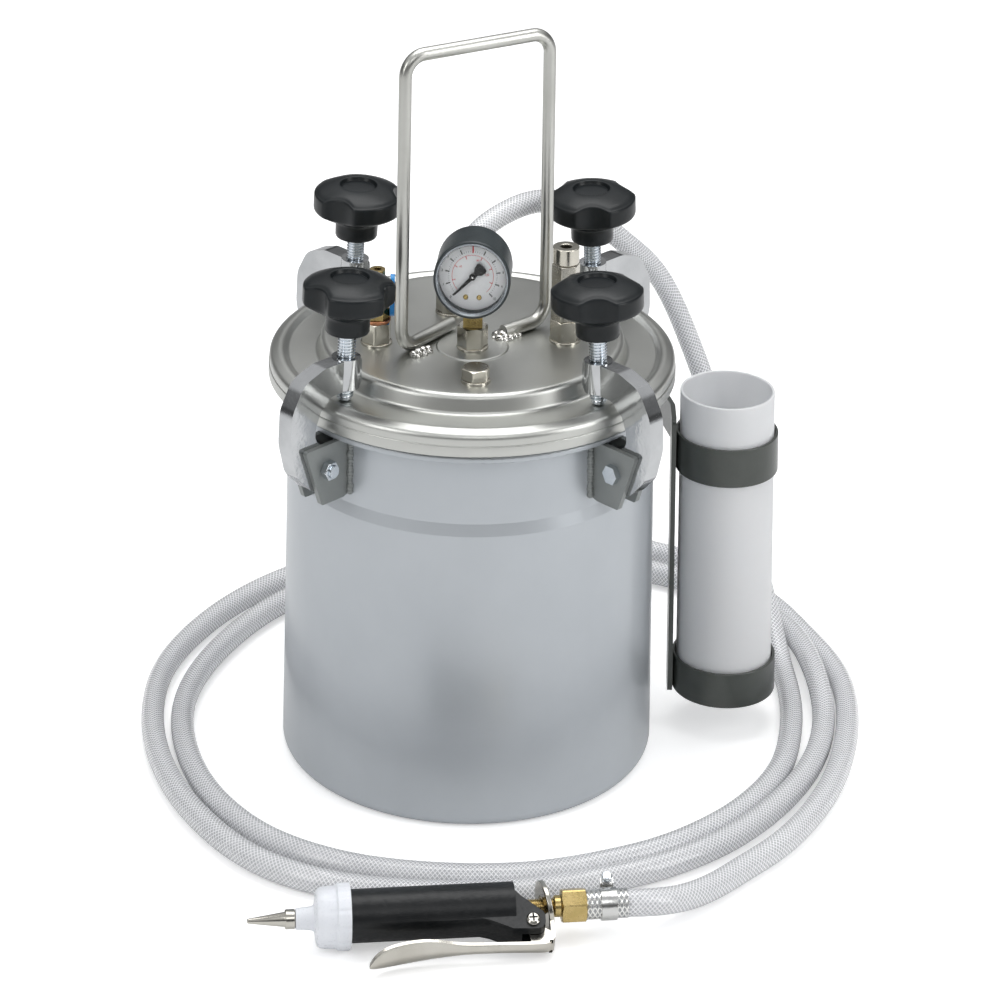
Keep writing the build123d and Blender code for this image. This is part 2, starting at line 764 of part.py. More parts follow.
with BuildPart() as strap:
    # flat strip standing beside the pot, rounded at its lower end
    with BuildSketch(Plane(origin=(strap_inner_x, bottle_y, 0), x_dir=(0, 1, 0), z_dir=(1, 0, 0))):
        with BuildLine():
            outline([
                (-strap_half_w, 15.0, 8.9), (strap_half_w, 15.0, 8.9),
                (strap_half_w, strap_top, 4.0), (-strap_half_w, strap_top, 4.0),
            ])
        make_face()
    extrude(amount=strap_t)
    # arm from the strip back to the back right clamp bracket
    with BuildSketch(Plane.XY.offset(strap_top - arm_h)):
        with BuildLine():
            outline([
                (strap_inner_x, 12.0, 0), (strap_outer_x, 12.0, 0), (strap_outer_x, 29.0, 1.0),
                (100.6, 79.0, 3.0), (95.0, 84.9, 0), (93.4, 83.3, 0), (98.6, 77.8, 2.0),
                (strap_inner_x, 29.0, 1.0),
            ])
        make_face()
    extrude(amount=arm_h)
save(strap.part, "holder_strap")

# lower band, upper band, and the ledge under the lower one that carries the bottle
save(round_stack(
    upright((bottle_x, bottle_y), 0),
    (bottle_base, 16.6, band_r, band_bore),
    (137.0, 20.0, band_r, band_bore),
    (bottle_base - band_t, band_t, band_r, bottle_r - 4.0),
), "holder_bands")

bottle = revolved([
    (0, bottle_base, 0), (bottle_r, bottle_base, 3.0), (bottle_r, bottle_top, 0.6),
    (bottle_r - bottle_wall, bottle_top, 0.6),
    (bottle_r - bottle_wall, bottle_base + bottle_wall, 1.6),
    (0, bottle_base + bottle_wall, 0),
])
save(bottle.moved(Location((bottle_x, bottle_y, 0))), "bottle")

# ---------------------------------------------------------------- gun, lying beside the coil
gun_roll = 22.0          # degrees, the lever side leans towards the floor
# x runs back along the gun's axis from the nozzle tip, and -y is the lever side
gun_plane = Plane(
    origin=gun_tip,
    x_dir=gun_dir,
    z_dir=polar(math.sin(math.radians(gun_roll)), gun_yaw - 90)
    + Vector(0, 0, math.cos(math.radians(gun_roll))),
)
gun_axis = Axis(gun_plane.origin, gun_dir)
# plane across the gun at the tip; its x runs away from the lever
gun_cross = Plane(origin=gun_tip, x_dir=gun_plane.y_dir, z_dir=gun_dir)
lever_pivot = (139.0, -12.2)
lever_pin_hole_r = 2.0
rod_bore = 2.6
valve_tube_r = 6.1

# distance behind the tip, radius, corner radius
save(revolved([
    (0, 0.9, 0), (0.6, 1.15, 0), (18.3, 3.4, 0), (18.3, 4.35, 0), (23.5, 4.35, 0),
    (23.5, 1.0, 0), (0, 0.5, 0),
], gun_plane, gun_axis), "gun_nozzle")

save(revolved([
    (23.6, 1.1, 0), (23.6, 4.5, 0), (31.5, 5.0, 1.5), (33.0, 9.0, 1.0), (36.0, 13.2, 2.5),
    (43.8, 13.9, 0.3), (44.2, 14.6, 0.3), (50.4, 14.6, 0.5), (50.4, 12.1, 0),
    (38.5, 12.1, 0), (38.5, 1.1, 0),
], gun_plane, gun_axis), "gun_cap")

# grip: a tube whose lower rear edge runs out into a two-eared fin for the lever pin
with BuildPart() as grip:
    with BuildSketch(gun_cross.offset(50.5)):
        Circle(11.7)
    extrude(amount=80.5)
    # fin and slanted rear end
    with BuildSketch(gun_plane.offset(-6.6)):
        with BuildLine():
            outline([
                (100.0, -6.0, 0), (118.0, -11.0, 12.0), (129.0, -16.4, 3.0),
                (144.9, -17.2, 4.5), (145.3, -8.5, 4.5), (134.0, 2.0, 3.0),
                (129.0, 8.0, 0), (100.0, 8.0, 0),
            ])
        make_face()
    extrude(amount=13.2)
    # neck into the cap
    with BuildSketch(gun_cross.offset(39.0)):
        Circle(12.0)
    extrude(amount=11.5)
    # main bore, open at both ends
    with BuildSketch(gun_cross.offset(38.0)):
        Circle(6.2)
    extrude(amount=110.0, mode=Mode.SUBTRACT)
    # gap between the ears for the lever
    with BuildSketch(gun_plane.offset(-2.6)):
        with BuildLine():
            outline([(133.4, -30.0, 0), (160.0, -30.0, 0), (160.0, -5.0, 0), (133.4, -5.0, 0)])
        make_face()
    extrude(amount=5.2, mode=Mode.SUBTRACT)
    # pin hole
    with BuildSketch(gun_plane.offset(-12)):
        with Locations(lever_pivot):
            Circle(lever_pin_hole_r)
    extrude(amount=24.0, mode=Mode.SUBTRACT)
save(grip.part, "gun_grip")

# valve tube inside the grip, and the stepped rod behind it
save(round_stack(gun_cross, (39.2, 84.0, valve_tube_r, rod_bore)), "gun_valve_tube")
save(round_stack(
    gun_cross, (123.4, 6.0, valve_tube_r, rod_bore), (129.4, 24.8, 3.7, rod_bore),
), "gun_threaded_rod")

# union: collar round the rod's end, hexagon, and the barb for the hose
with BuildPart() as hose_union:
    with BuildSketch(gun_cross.offset(150.5)):
        ring(4.6, 3.72)
    extrude(amount=3.7)
    with BuildSketch(gun_cross.offset(154.2)):
        hexagon(13.6, 15)
        Circle(rod_bore, mode=Mode.SUBTRACT)
    extrude(amount=12.6)
    with BuildSketch(gun_cross.offset(166.8)):
        ring(3.95, 2.4)
    extrude(amount=12.6)
save(hose_union.part, "gun_hose_union")

clip_start = 173.5
clip_w = 8.5
clip_bore = hose_r + 0.12
with BuildPart() as gun_clip:
    with BuildSketch(gun_cross.offset(clip_start)):
        ring(hose_r + 1.0, clip_bore)
    extrude(amount=clip_w)
    # block on the side away from the lever
    with BuildSketch(gun_plane.offset(-3.0)):
        with Locations((177.7, 9.4)):
            Rectangle(clip_w, 5.0)
    extrude(amount=6.0)
    # the block reaches into the band, so its bore is cleared again
    with BuildSketch(gun_cross.offset(clip_start)):
        Circle(clip_bore)
    extrude(amount=clip_w, mode=Mode.SUBTRACT)
save(gun_clip.part, "gun_hose_clip")

# lever: ring round the rod, cranked down past the pin and forward to a finger pad
# distance behind the tip, y on the gun plane, corner radius
lever_front = [
    (84.0, -24.8, 10.0), (70.0, -27.2, 10.0), (58.4, -30.6, 0),
    (57.8, -29.0, 0), (69.6, -25.5, 10.0), (84.0, -23.1, 10.0),
]
lever_profile = [
    (147.0, -6.0, 0), (149.4, -6.0, 0), (149.4, -21.8, 2.6), (146.5, -24.2, 2.6),
    (101.0, -23.2, 3.0), *lever_front,
    (101.0, -21.5, 3.0), (143.5, -21.9, 1.2), (147.0, -18.8, 0.8),
]
lever_w = 4.8
with BuildPart() as lever:
    with BuildSketch(gun_plane.offset(-lever_w / 2)):
        with BuildLine():
            outline(lever_profile)
        make_face()
    extrude(amount=lever_w)
    # ring
    with BuildSketch(gun_cross.offset(147.0)):
        ring(11.6, 5.6)
    extrude(amount=2.4)
    # ear on the pin
    with BuildSketch(gun_plane.offset(-lever_w / 2)):
        with Locations(lever_pivot):
            Circle(4.0)
        with BuildLine():
            outline([
                (137.0, -13.0, 0), (141.0, -13.0, 0), (147.5, -17.0, 0),
                (147.5, -22.4, 0), (137.0, -22.4, 0),
            ])
        make_face()
    extrude(amount=lever_w)
    # finger pad, set a little to one side
    with BuildSketch(gun_plane.offset(-3.4)):
        with BuildLine():
            outline([*lever_front, (92.0, -22.35, 0), (92.0, -24.05, 0)])
        make_face()
    extrude(amount=12.2)
    # pin hole
    with BuildSketch(gun_plane.offset(-20)):
        with Locations(lever_pivot):
            Circle(lever_pin_hole_r)
    extrude(amount=40.0, mode=Mode.SUBTRACT)
save(lever.part, "gun_lever")

# pin with a head at each end
pin_origin = gun_plane.from_local_coords((*lever_pivot, 0))
save(round_stack(
    Plane(origin=pin_origin, x_dir=gun_dir, z_dir=gun_plane.z_dir),
    (-7.6, 14.3, 1.95, 0), (6.62, 1.6, 3.3, 0), (-6.62, -1.4, 3.3, 0),
), "gun_lever_pin")

# needle with its collar, and the coil spring round it inside the valve tube
save(round_stack(
    gun_cross, (30.0, 16.0, 0.8, 0), (46.0, 3.0, 2.2, 0), (49.0, 92.0, 1.2, 0),
), "gun_needle")

spring_r = 1.95
with BuildPart() as spring:
    with BuildLine():
        Helix(pitch=2.6, height=26.0, radius=spring_r)
    with BuildSketch(Plane(origin=(spring_r, 0, 0), z_dir=(0, 1, 0.2))):
        Circle(0.3)
    sweep(is_frenet=True)
save(spring.part.moved(Location(gun_cross.offset(92.0))), "gun_spring")
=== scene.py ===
import bpy
import bmesh
import json
import math
import random
import numpy as np
from mathutils import Matrix, Vector


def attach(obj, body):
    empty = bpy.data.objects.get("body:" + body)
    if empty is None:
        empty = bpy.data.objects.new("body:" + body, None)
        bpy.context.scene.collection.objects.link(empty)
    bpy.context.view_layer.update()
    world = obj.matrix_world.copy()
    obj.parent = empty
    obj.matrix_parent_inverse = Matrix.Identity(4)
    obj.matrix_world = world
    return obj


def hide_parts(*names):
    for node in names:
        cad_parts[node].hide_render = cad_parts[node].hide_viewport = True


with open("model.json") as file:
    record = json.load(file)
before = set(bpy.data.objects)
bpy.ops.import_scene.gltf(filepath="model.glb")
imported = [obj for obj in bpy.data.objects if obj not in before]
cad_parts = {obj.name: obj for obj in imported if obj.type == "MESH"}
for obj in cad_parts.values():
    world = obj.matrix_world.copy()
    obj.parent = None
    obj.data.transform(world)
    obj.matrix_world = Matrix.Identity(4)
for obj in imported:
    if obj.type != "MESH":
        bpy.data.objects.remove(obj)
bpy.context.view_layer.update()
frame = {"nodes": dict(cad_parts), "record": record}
MM = 0.001
rnd = random.Random(7)
D2R = math.pi / 180

BODY = {}
for _b, _ns in frame["record"]["behaviour"]["bodies"].items():
    for _n in _ns:
        BODY[_n] = _b
SLOT = {s["node"]: s["material_slot"] for s in frame["record"]["subparts"]}


# ------------------------------------------------------------------ node helpers
def new_mat(name):
    m = bpy.data.materials.new(name)
    m.use_nodes = True
    nt = m.node_tree
    nt.nodes.clear()
    out = nt.nodes.new("ShaderNodeOutputMaterial")
    b = nt.nodes.new("ShaderNodeBsdfPrincipled")
    nt.links.new(b.outputs[0], out.inputs[0])
    return m, nt, b


def N(nt, kind, **kw):
    n = nt.nodes.new(kind)
    for k, v in kw.items():
        if k in n.bl_rna.properties.keys():
            setattr(n, k, v)
        else:
            n.inputs[k].default_value = v
    return n


def L(nt, a, b):
    nt.links.new(a, b)


def noise(nt, coord, scale, detail=4.0, rough=0.55, stretch=None):
    n = N(nt, "ShaderNodeTexNoise")
    n.inputs["Scale"].default_value = scale
    n.inputs["Detail"].default_value = detail
    n.inputs["Roughness"].default_value = rough
    src = coord
    if stretch:
        mp = N(nt, "ShaderNodeMapping")
        mp.inputs["Scale"].default_value = stretch
        L(nt, coord, mp.inputs[0])
        src = mp.outputs[0]
    L(nt, src, n.inputs["Vector"])
    return n.outputs["Fac"]


def obj_coord(nt):
    return N(nt, "ShaderNodeTexCoord").outputs["Object"]


def ramp(nt, fac, stops):
    r = N(nt, "ShaderNodeValToRGB")
    el = r.color_ramp.elements
    el[0].position, el[0].color = stops[0][0], tuple(stops[0][1]) + (1,)
    el[1].position, el[1].color = stops[-1][0], tuple(stops[-1][1]) + (1,)
    for p, c in stops[1:-1]:
        e = el.new(p)
        e.color = tuple(c) + (1,)
    L(nt, fac, r.inputs[0])
    return r.outputs[0]


def maprange(nt, fac, a, b, c, d):
    m = N(nt, "ShaderNodeMapRange")
    m.inputs["From Min"].default_value = a
    m.inputs["From Max"].default_value = b
    m.inputs["To Min"].default_value = c
    m.inputs["To Max"].default_value = d
    L(nt, fac, m.inputs["Value"])
    return m.outputs[0]


def math_node(nt, op, a, b=None, clamp=False):
    m = N(nt, "ShaderNodeMath")
    m.operation = op
    m.use_clamp = clamp
    for i, v in enumerate((a, b)):
        if v is None:
            continue
        if isinstance(v, (int, float)):
            m.inputs[i].default_value = v
        else:
            L(nt, v, m.inputs[i])
    return m.outputs[0]


def bump(nt, b, height, strength, distance=0.001):
    n = N(nt, "ShaderNodeBump")
    n.inputs["Strength"].default_value = strength
    n.inputs["Distance"].default_value = distance
    L(nt, height, n.inputs["Height"])
    L(nt, n.outputs[0], b.inputs["Normal"])
    return n


def mixcol(nt, fac, a, b):
    m = N(nt, "ShaderNodeMix", data_type="RGBA")
    for key, v in (("A", a), ("B", b)):
        i = [x for x in m.inputs if x.name == key and x.type == "RGBA"][0]
        if isinstance(v, tuple):
            i.default_value = v + (1,)
        else:
            L(nt, v, i)
    f = [x for x in m.inputs if x.name == "Factor" and x.type == "VALUE"][0]
    if isinstance(fac, (int, float)):
        f.default_value = fac
    else:
        L(nt, fac, f)
    return [x for x in m.outputs if x.type == "RGBA"][0]


def metal(name, lo, hi, rough, spread=0.08, scale=60.0, stretch=None, bumpy=0.15, bump_scale=300.0, metallic=1.0, coat=0.0, dist=0.0002):
    """Metal with worn colour variation, uneven gloss and a fine surface grain."""
    m, nt, b = new_mat(name)
    co = obj_coord(nt)
    big = noise(nt, co, scale, 5.0)
    L(nt, ramp(nt, big, [(0.3, lo), (0.7, hi)]), b.inputs["Base Color"])
    fine = noise(nt, co, bump_scale, 3.0, 0.6, stretch)
    r = math_node(nt, "ADD", maprange(nt, big, 0.3, 0.7, rough - spread / 2, rough + spread / 2), maprange(nt, fine, 0.3, 0.7, -spread / 3, spread / 3), True)
    L(nt, r, b.inputs["Roughness"])
    b.inputs["Metallic"].default_value = metallic
    b.inputs["Coat Weight"].default_value = coat
    bump(nt, b, fine, bumpy, dist)
    return m


def plastic(name, lo, hi, rough, scale=80.0, bump_scale=500.0, bumpy=0.2, spec=0.5, sss=0.0, transmission=0.0, dist=0.0002):
    m, nt, b = new_mat(name)
    co = obj_coord(nt)
    big = noise(nt, co, scale, 4.0)
    L(nt, ramp(nt, big, [(0.3, lo), (0.7, hi)]), b.inputs["Base Color"])
    fine = noise(nt, co, bump_scale, 3.0)
    L(nt, maprange(nt, fine, 0.3, 0.7, rough - 0.05, rough + 0.05), b.inputs["Roughness"])
    b.inputs["Specular IOR Level"].default_value = spec
    b.inputs["Subsurface Weight"].default_value = sss
    b.inputs["Subsurface Radius"].default_value = (0.01, 0.01, 0.01)
    b.inputs["Transmission Weight"].default_value = transmission
    bump(nt, b, fine, bumpy, dist)
    return m


M = {}
M["pot_paint"] = metal("pot_paint", (0.47, 0.50, 0.53), (0.52, 0.55, 0.58), 0.36, 0.05, 14.0, None, 0.10, 900.0, 0.45, 0.35, 0.0001)
M["lid_steel"] = metal("lid_steel", (0.54, 0.545, 0.52), (0.60, 0.605, 0.58), 0.36, 0.06, 16.0, None, 0.03, 700.0)
M["handle_steel"] = metal("handle_steel", (0.50, 0.50, 0.47), (0.58, 0.58, 0.55), 0.32, 0.05, 40.0, None, 0.03, 900.0)
M["zinc"] = metal("zinc", (0.62, 0.66, 0.70), (0.74, 0.78, 0.82), 0.16, 0.10, 90.0, None, 0.12, 900.0)
M["clamp_chrome"] = metal("clamp_chrome", (0.47, 0.48, 0.49), (0.58, 0.59, 0.60), 0.11, 0.07, 60.0, None, 0.30, 90.0, 1.0, 0.0, 0.0005)
M["nickel"] = metal("nickel", (0.55, 0.53, 0.46), (0.66, 0.63, 0.56), 0.22, 0.10, 60.0, None, 0.12, 700.0)
M["nickel_bright"] = metal("nickel_bright", (0.50, 0.48, 0.43), (0.60, 0.58, 0.53), 0.18, 0.08, 60.0, None, 0.12, 500.0)
M["brass"] = metal("brass", (0.42, 0.32, 0.12), (0.58, 0.44, 0.20), 0.26, 0.10, 90.0, None, 0.15, 700.0)
M["copper"] = metal("copper", (0.50, 0.20, 0.10), (0.64, 0.30, 0.17), 0.30, 0.12, 90.0, None, 0.2, 600.0)
M["knob_black"] = plastic("knob_black", (0.004, 0.006, 0.007), (0.008, 0.011, 0.013), 0.33, 60.0, 1800.0, 0.12, 0.34, 0, 0, 0.0001)
M["grip_black"] = plastic("grip_black", (0.004, 0.005, 0.006), (0.009, 0.010, 0.011), 0.36, 120.0, 500.0, 0.55, 0.36, 0, 0, 0.0003)
M["seal"] = plastic("seal", (0.16, 0.16, 0.155), (0.22, 0.22, 0.21), 0.55, 90.0, 900.0, 0.3)
M["gauge_black"] = plastic("gauge_black", (0.022, 0.030, 0.034), (0.036, 0.046, 0.050), 0.34, 90.0, 1500.0, 0.15)
M["bezel_grey"] = metal("bezel_grey", (0.30, 0.33, 0.36), (0.42, 0.45, 0.48), 0.22, 0.08, 90.0, None, 0.1, 900.0, 0.6)
M["dial_white"] = plastic("dial_white", (0.86, 0.87, 0.88), (0.92, 0.93, 0.94), 0.35, 120.0, 1500.0, 0.05)
M["ink_black"] = plastic("ink_black", (0.012, 0.012, 0.012), (0.02, 0.02, 0.02), 0.4, 400.0, 1500.0, 0.05)
M["ink_red"] = plastic("ink_red", (0.55, 0.02, 0.02), (0.66, 0.04, 0.035), 0.4, 400.0, 1500.0, 0.05)
M["lever_blue"] = plastic("lever_blue", (0.01, 0.22, 0.62), (0.02, 0.30, 0.72), 0.3, 90.0, 900.0, 0.1)
M["holder_paint"] = metal("holder_paint", (0.050, 0.056, 0.050), (0.075, 0.082, 0.075), 0.34, 0.08, 30.0, None, 0.25, 700.0, 0.25, 0.3)
M["cap_white"] = plastic("cap_white", (0.80, 0.82, 0.87), (0.85, 0.87, 0.91), 0.30, 60.0, 900.0, 0.08, 0.5, 0.35)
M["steel"] = metal("steel", (0.58, 0.58, 0.57), (0.70, 0.70, 0.69), 0.22, 0.10, 60.0, None, 0.15, 700.0)
M["bracket_paint"] = metal("bracket_paint", (0.235, 0.25, 0.245), (0.29, 0.305, 0.30), 0.40, 0.08, 40.0, None, 0.2, 900.0, 0.5, 0.1)
M["weld_metal"] = metal("weld_metal", (0.62, 0.61, 0.58), (0.78, 0.77, 0.74), 0.22, 0.14, 200.0, None, 0.5, 600.0, 1.0, 0.0, 0.0004)
# dark_inside is painted shade: a near-black metal standing for the shade inside a hollow
M["dark_inside"] = metal("dark_inside", (0.05, 0.05, 0.05), (0.09, 0.09, 0.09), 0.5, 0.1, 50.0)


def make_lens():
    m, nt, b = new_mat("lens_clear")
    co = obj_coord(nt)
    f = noise(nt, co, 200.0)
    L(nt, ramp(nt, f, [(0.3, (0.97, 0.98, 0.99)), (0.7, (1, 1, 1))]), b.inputs["Base Color"])
    b.inputs["Roughness"].default_value = 0.03
    b.inputs["Transmission Weight"].default_value = 1.0
    b.inputs["IOR"].default_value = 1.12
    b.inputs["Alpha"].default_value = 0.35
    bump(nt, b, f, 0.02, 0.0001)
    return m


def make_bottle():
    m, nt, b = new_mat("bottle_clear")
    co = obj_coord(nt)
    f = noise(nt, co, 30.0, 4.0)
    L(nt, ramp(nt, f, [(0.3, (0.93, 0.95, 0.98)), (0.7, (0.96, 0.97, 0.99))]), b.inputs["Base Color"])
    fine = noise(nt, co, 500.0, 3.0, 0.6, (1, 1, 0.2))
    L(nt, maprange(nt, fine, 0.3, 0.7, 0.30, 0.42), b.inputs["Roughness"])
    b.inputs["Transmission Weight"].default_value = 0.30
    b.inputs["Subsurface Weight"].default_value = 0.6
    b.inputs["Subsurface Radius"].default_value = (0.03, 0.03, 0.03)
    b.inputs["IOR"].default_value = 1.45
    bump(nt, b, fine, 0.06, 0.0002)
    return m


def make_hose():
    """Clear hose wall over a white cross-wound braid; u runs along the hose, v round it."""
    m, nt, b = new_mat("hose_clear")
    uv = N(nt, "ShaderNodeUVMap", uv_map="along")
    sep = N(nt, "ShaderNodeSeparateXYZ")
    L(nt, uv.outputs[0], sep.inputs[0])
    u, v = sep.outputs[0], sep.outputs[1]
    lay = []
    for sign in (1, -1):
        a = math_node(nt, "MULTIPLY", u, 1.0)
        c = math_node(nt, "MULTIPLY", v, sign * 16.0)
        s = math_node(nt, "ADD", a, c)
        fr = math_node(nt, "FRACT", s)
        tri = math_node(nt, "ABSOLUTE", math_node(nt, "SUBTRACT", fr, 0.5))
        lay.append(maprange(nt, tri, 0.06, 0.20, 1.0, 0.0))
        nt.nodes[-1].clamp = True
    thread = math_node(nt, "MAXIMUM", lay[0], lay[1])
    cell = noise(nt, obj_coord(nt), 35.0, 3.0)
    ground = ramp(nt, cell, [(0.3, (0.68, 0.69, 0.72)), (0.7, (0.76, 0.77, 0.79))])
    L(nt, mixcol(nt, thread, ground, (0.93, 0.93, 0.95)), b.inputs["Base Color"])
    L(nt, maprange(nt, thread, 0, 1, 0.16, 0.30), b.inputs["Roughness"])
    L(nt, maprange(nt, thread, 0, 1, 0.42, 0.10), b.inputs["Transmission Weight"])
    b.inputs["IOR"].default_value = 1.42
    b.inputs["Subsurface Weight"].default_value = 0.35
    b.inputs["Subsurface Radius"].default_value = (0.006, 0.006, 0.006)
    b.inputs["Coat Weight"].default_value = 0.6
    b.inputs["Coat Roughness"].default_value = 0.08
    bump(nt, b, thread, 0.25, 0.0003)
    return m


def make_gauze():
    """Bright wire gauze: crossed strands, with painted shade in the gaps between them."""
    m, nt, b = new_mat("wire_gauze")
    uv = N(nt, "ShaderNodeUVMap", uv_map="along")
    sep = N(nt, "ShaderNodeSeparateXYZ")
    L(nt, uv.outputs[0], sep.inputs[0])
    u, v = sep.outputs[0], sep.outputs[1]
    lay = []
    for sign in (1, -1):
        s = math_node(nt, "ADD", math_node(nt, "MULTIPLY", u, 0.9), math_node(nt, "MULTIPLY", v, sign * 10.0))
        fr = math_node(nt, "FRACT", s)
        tri = math_node(nt, "ABSOLUTE", math_node(nt, "SUBTRACT", fr, 0.5))
        lay.append(maprange(nt, tri, 0.10, 0.26, 1.0, 0.0))
        nt.nodes[-1].clamp = True
    t = math_node(nt, "MAXIMUM", lay[0], lay[1])
    # the dark grey in the gaps is painted shade between the strands; the light grey is the wire's colour
    L(nt, mixcol(nt, t, (0.36, 0.37, 0.38), (0.86, 0.86, 0.84)), b.inputs["Base Color"])
    L(nt, maprange(nt, t, 0, 1, 0.45, 0.18), b.inputs["Roughness"])
    b.inputs["Metallic"].default_value = 0.85
    bump(nt, b, t, 0.8, 0.0004)
    return m


M["lens_clear"] = make_lens()
M["bottle_clear"] = make_bottle()
M["hose_clear"] = make_hose()
M["wire_gauze"] = make_gauze()
M["pointer_black"] = M["ink_black"]


# ------------------------------------------------------------------ mesh helpers
def mesh_obj(name, verts, faces, mat, body, smooth=35.0, uvs=None, replaces=(), scale=MM):
    me = bpy.data.meshes.new(name)
    v = np.asarray(verts, float) * scale
    me.from_pydata([tuple(p) for p in v], [], [tuple(int(i) for i in f) for f in faces])
    me.validate(clean_customdata=False)
    me.update()
    if uvs is not None:
        lay = me.uv_layers.new(name="along")
        idx = np.zeros(len(me.loops), int)
        me.loops.foreach_get("vertex_index", idx)
        lay.data.foreach_set("uv", np.asarray(uvs, np.float32)[idx].ravel())
    for p in me.polygons:
        p.use_smooth = True
    if smooth is not None:
        me.set_sharp_from_angle(angle=smooth * D2R)
    o = bpy.data.objects.new(name, me)
    bpy.context.scene.collection.objects.link(o)
    me.materials.append(M[mat] if isinstance(mat, str) else mat)
    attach(o, body)
    if replaces:
        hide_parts(*replaces)
    return o


def basis(origin, z, x=None):
    """4x4 numpy matrix (mm) whose z axis is z."""
    z = np.asarray(z, float)
    z = z / np.linalg.norm(z)
    if x is None:
        x = np.array([1.0, 0, 0]) if abs(z[0]) < 0.9 else np.array([0, 1.0, 0])
    x = np.asarray(x, float)
    x = x - z * (x @ z)
    x = x / np.linalg.norm(x)
    y = np.cross(z, x)
    m = np.eye(4)
    m[:3, 0], m[:3, 1], m[:3, 2], m[:3, 3] = x, y, z, np.asarray(origin, float)
    return m


def xf(m, pts):
    return np.asarray(pts, float) @ m[:3, :3].T + m[:3, 3]


def lathe(profile, seg=96, closed_ends=True):
    """Rings about local z from (r, z) points. Returns vertices and faces in mm."""
    verts, faces, rings = [], [], []
    for r, z in profile:
        if r < 1e-6:
            rings.append([len(verts)])
            verts.append((0, 0, z))
        else:
            s = len(verts)
            for k in range(seg):
                a = 2 * math.pi * k / seg
                verts.append((r * math.cos(a), r * math.sin(a), z))
            rings.append(list(range(s, s + seg)))
    for a, b in zip(rings[:-1], rings[1:]):
        for k in range(seg):
            k2 = (k + 1) % seg
            if len(a) == 1 and len(b) == 1:
                continue
            if len(a) == 1:
                faces.append((a[0], b[k2], b[k]))
            elif len(b) == 1:
                faces.append((a[k], a[k2], b[0]))
            else:
                faces.append((a[k], a[k2], b[k2], b[k]))
    return verts, faces


def smooth_profile(points, n=6):
    """Rounds the corners of a (r, z, radius) polyline."""
    out = []
    for i, p in enumerate(points):
        x1, y1 = p[0], p[1]
        r = p[2] if len(p) > 2 else 0
        if r <= 0 or i == 0 or i == len(points) - 1:
            out.append((x1, y1))
            continue
        x0, y0 = points[i - 1][:2]
        x2, y2 = points[i + 1][:2]
        ax, ay, bx, by = x0 - x1, y0 - y1, x2 - x1, y2 - y1
        la, lb = math.hypot(ax, ay), math.hypot(bx, by)
        ax, ay, bx, by = ax / la, ay / la, bx / lb, by / lb
        half = 0.5 * math.acos(max(-1, min(1, ax * bx + ay * by)))
        t = min(r / math.tan(half), la * 0.499, lb * 0.499)
        rr = t * math.tan(half)
        cx, cy = ax + bx, ay + by
        lc = math.hypot(cx, cy)
        ox, oy = x1 + cx / lc * rr / math.sin(half), y1 + cy / lc * rr / math.sin(half)
        a0 = math.atan2(y1 + ay * t - oy, x1 + ax * t - ox)
        a1 = math.atan2(y1 + by * t - oy, x1 + bx * t - ox)
        d = (a1 - a0 + math.pi) % (2 * math.pi) - math.pi
        for k in range(n + 1):
            a = a0 + d * k / n
            out.append((ox + rr * math.cos(a), oy + rr * math.sin(a)))
    return out


def turned(name, profile, m, mat, body, seg=72, smooth=35.0, replaces=(), rounded=True):
    pr = smooth_profile(profile) if rounded else [p[:2] for p in profile]
    v, f = lathe(pr, seg)
    return mesh_obj(name, xf(m, v), f, mat, body, smooth, None, replaces)


def join_parts(parts):
    """Concatenates (verts, faces) pairs."""
    V, F = [], []
    for v, f in parts:
        o = len(V)
        V.extend([tuple(p) for p in v])
        F.extend([tuple(i + o for i in q) for q in f])
    return V, F


def refine(node, mat=None, bevel=0.35, segs=2, smooth=32.0, weld=2e-6, angle=34.0, name=None):
    """A cleaned copy of a CAD node with rounded edges, standing for it."""
    src = frame["nodes"][node].data
    me = src.copy()
    me.name = "fine_" + node
    bm = bmesh.new()
    bm.from_mesh(me)
    bmesh.ops.remove_doubles(bm, verts=bm.verts, dist=weld)
    bm.to_mesh(me)
    bm.free()
    if me.attributes.get("custom_normal"):
        me.attributes.remove(me.attributes["custom_normal"])
    for p in me.polygons:
        p.use_smooth = True
    me.set_sharp_from_angle(angle=smooth * D2R)
    o = bpy.data.objects.new(name or ("fine_" + node), me)
    bpy.context.scene.collection.objects.link(o)
    me.materials.clear()
    me.materials.append(M[mat or SLOT[node]])
    if bevel:
        b = o.modifiers.new("bevel", "BEVEL")
        b.width = bevel * MM
        b.segments = segs
        b.limit_method = "ANGLE"
        b.angle_limit = angle * D2R
        b.use_clamp_overlap = True
        b.harden_normals = False
    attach(o, BODY[node])
    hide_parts(node)
    return o


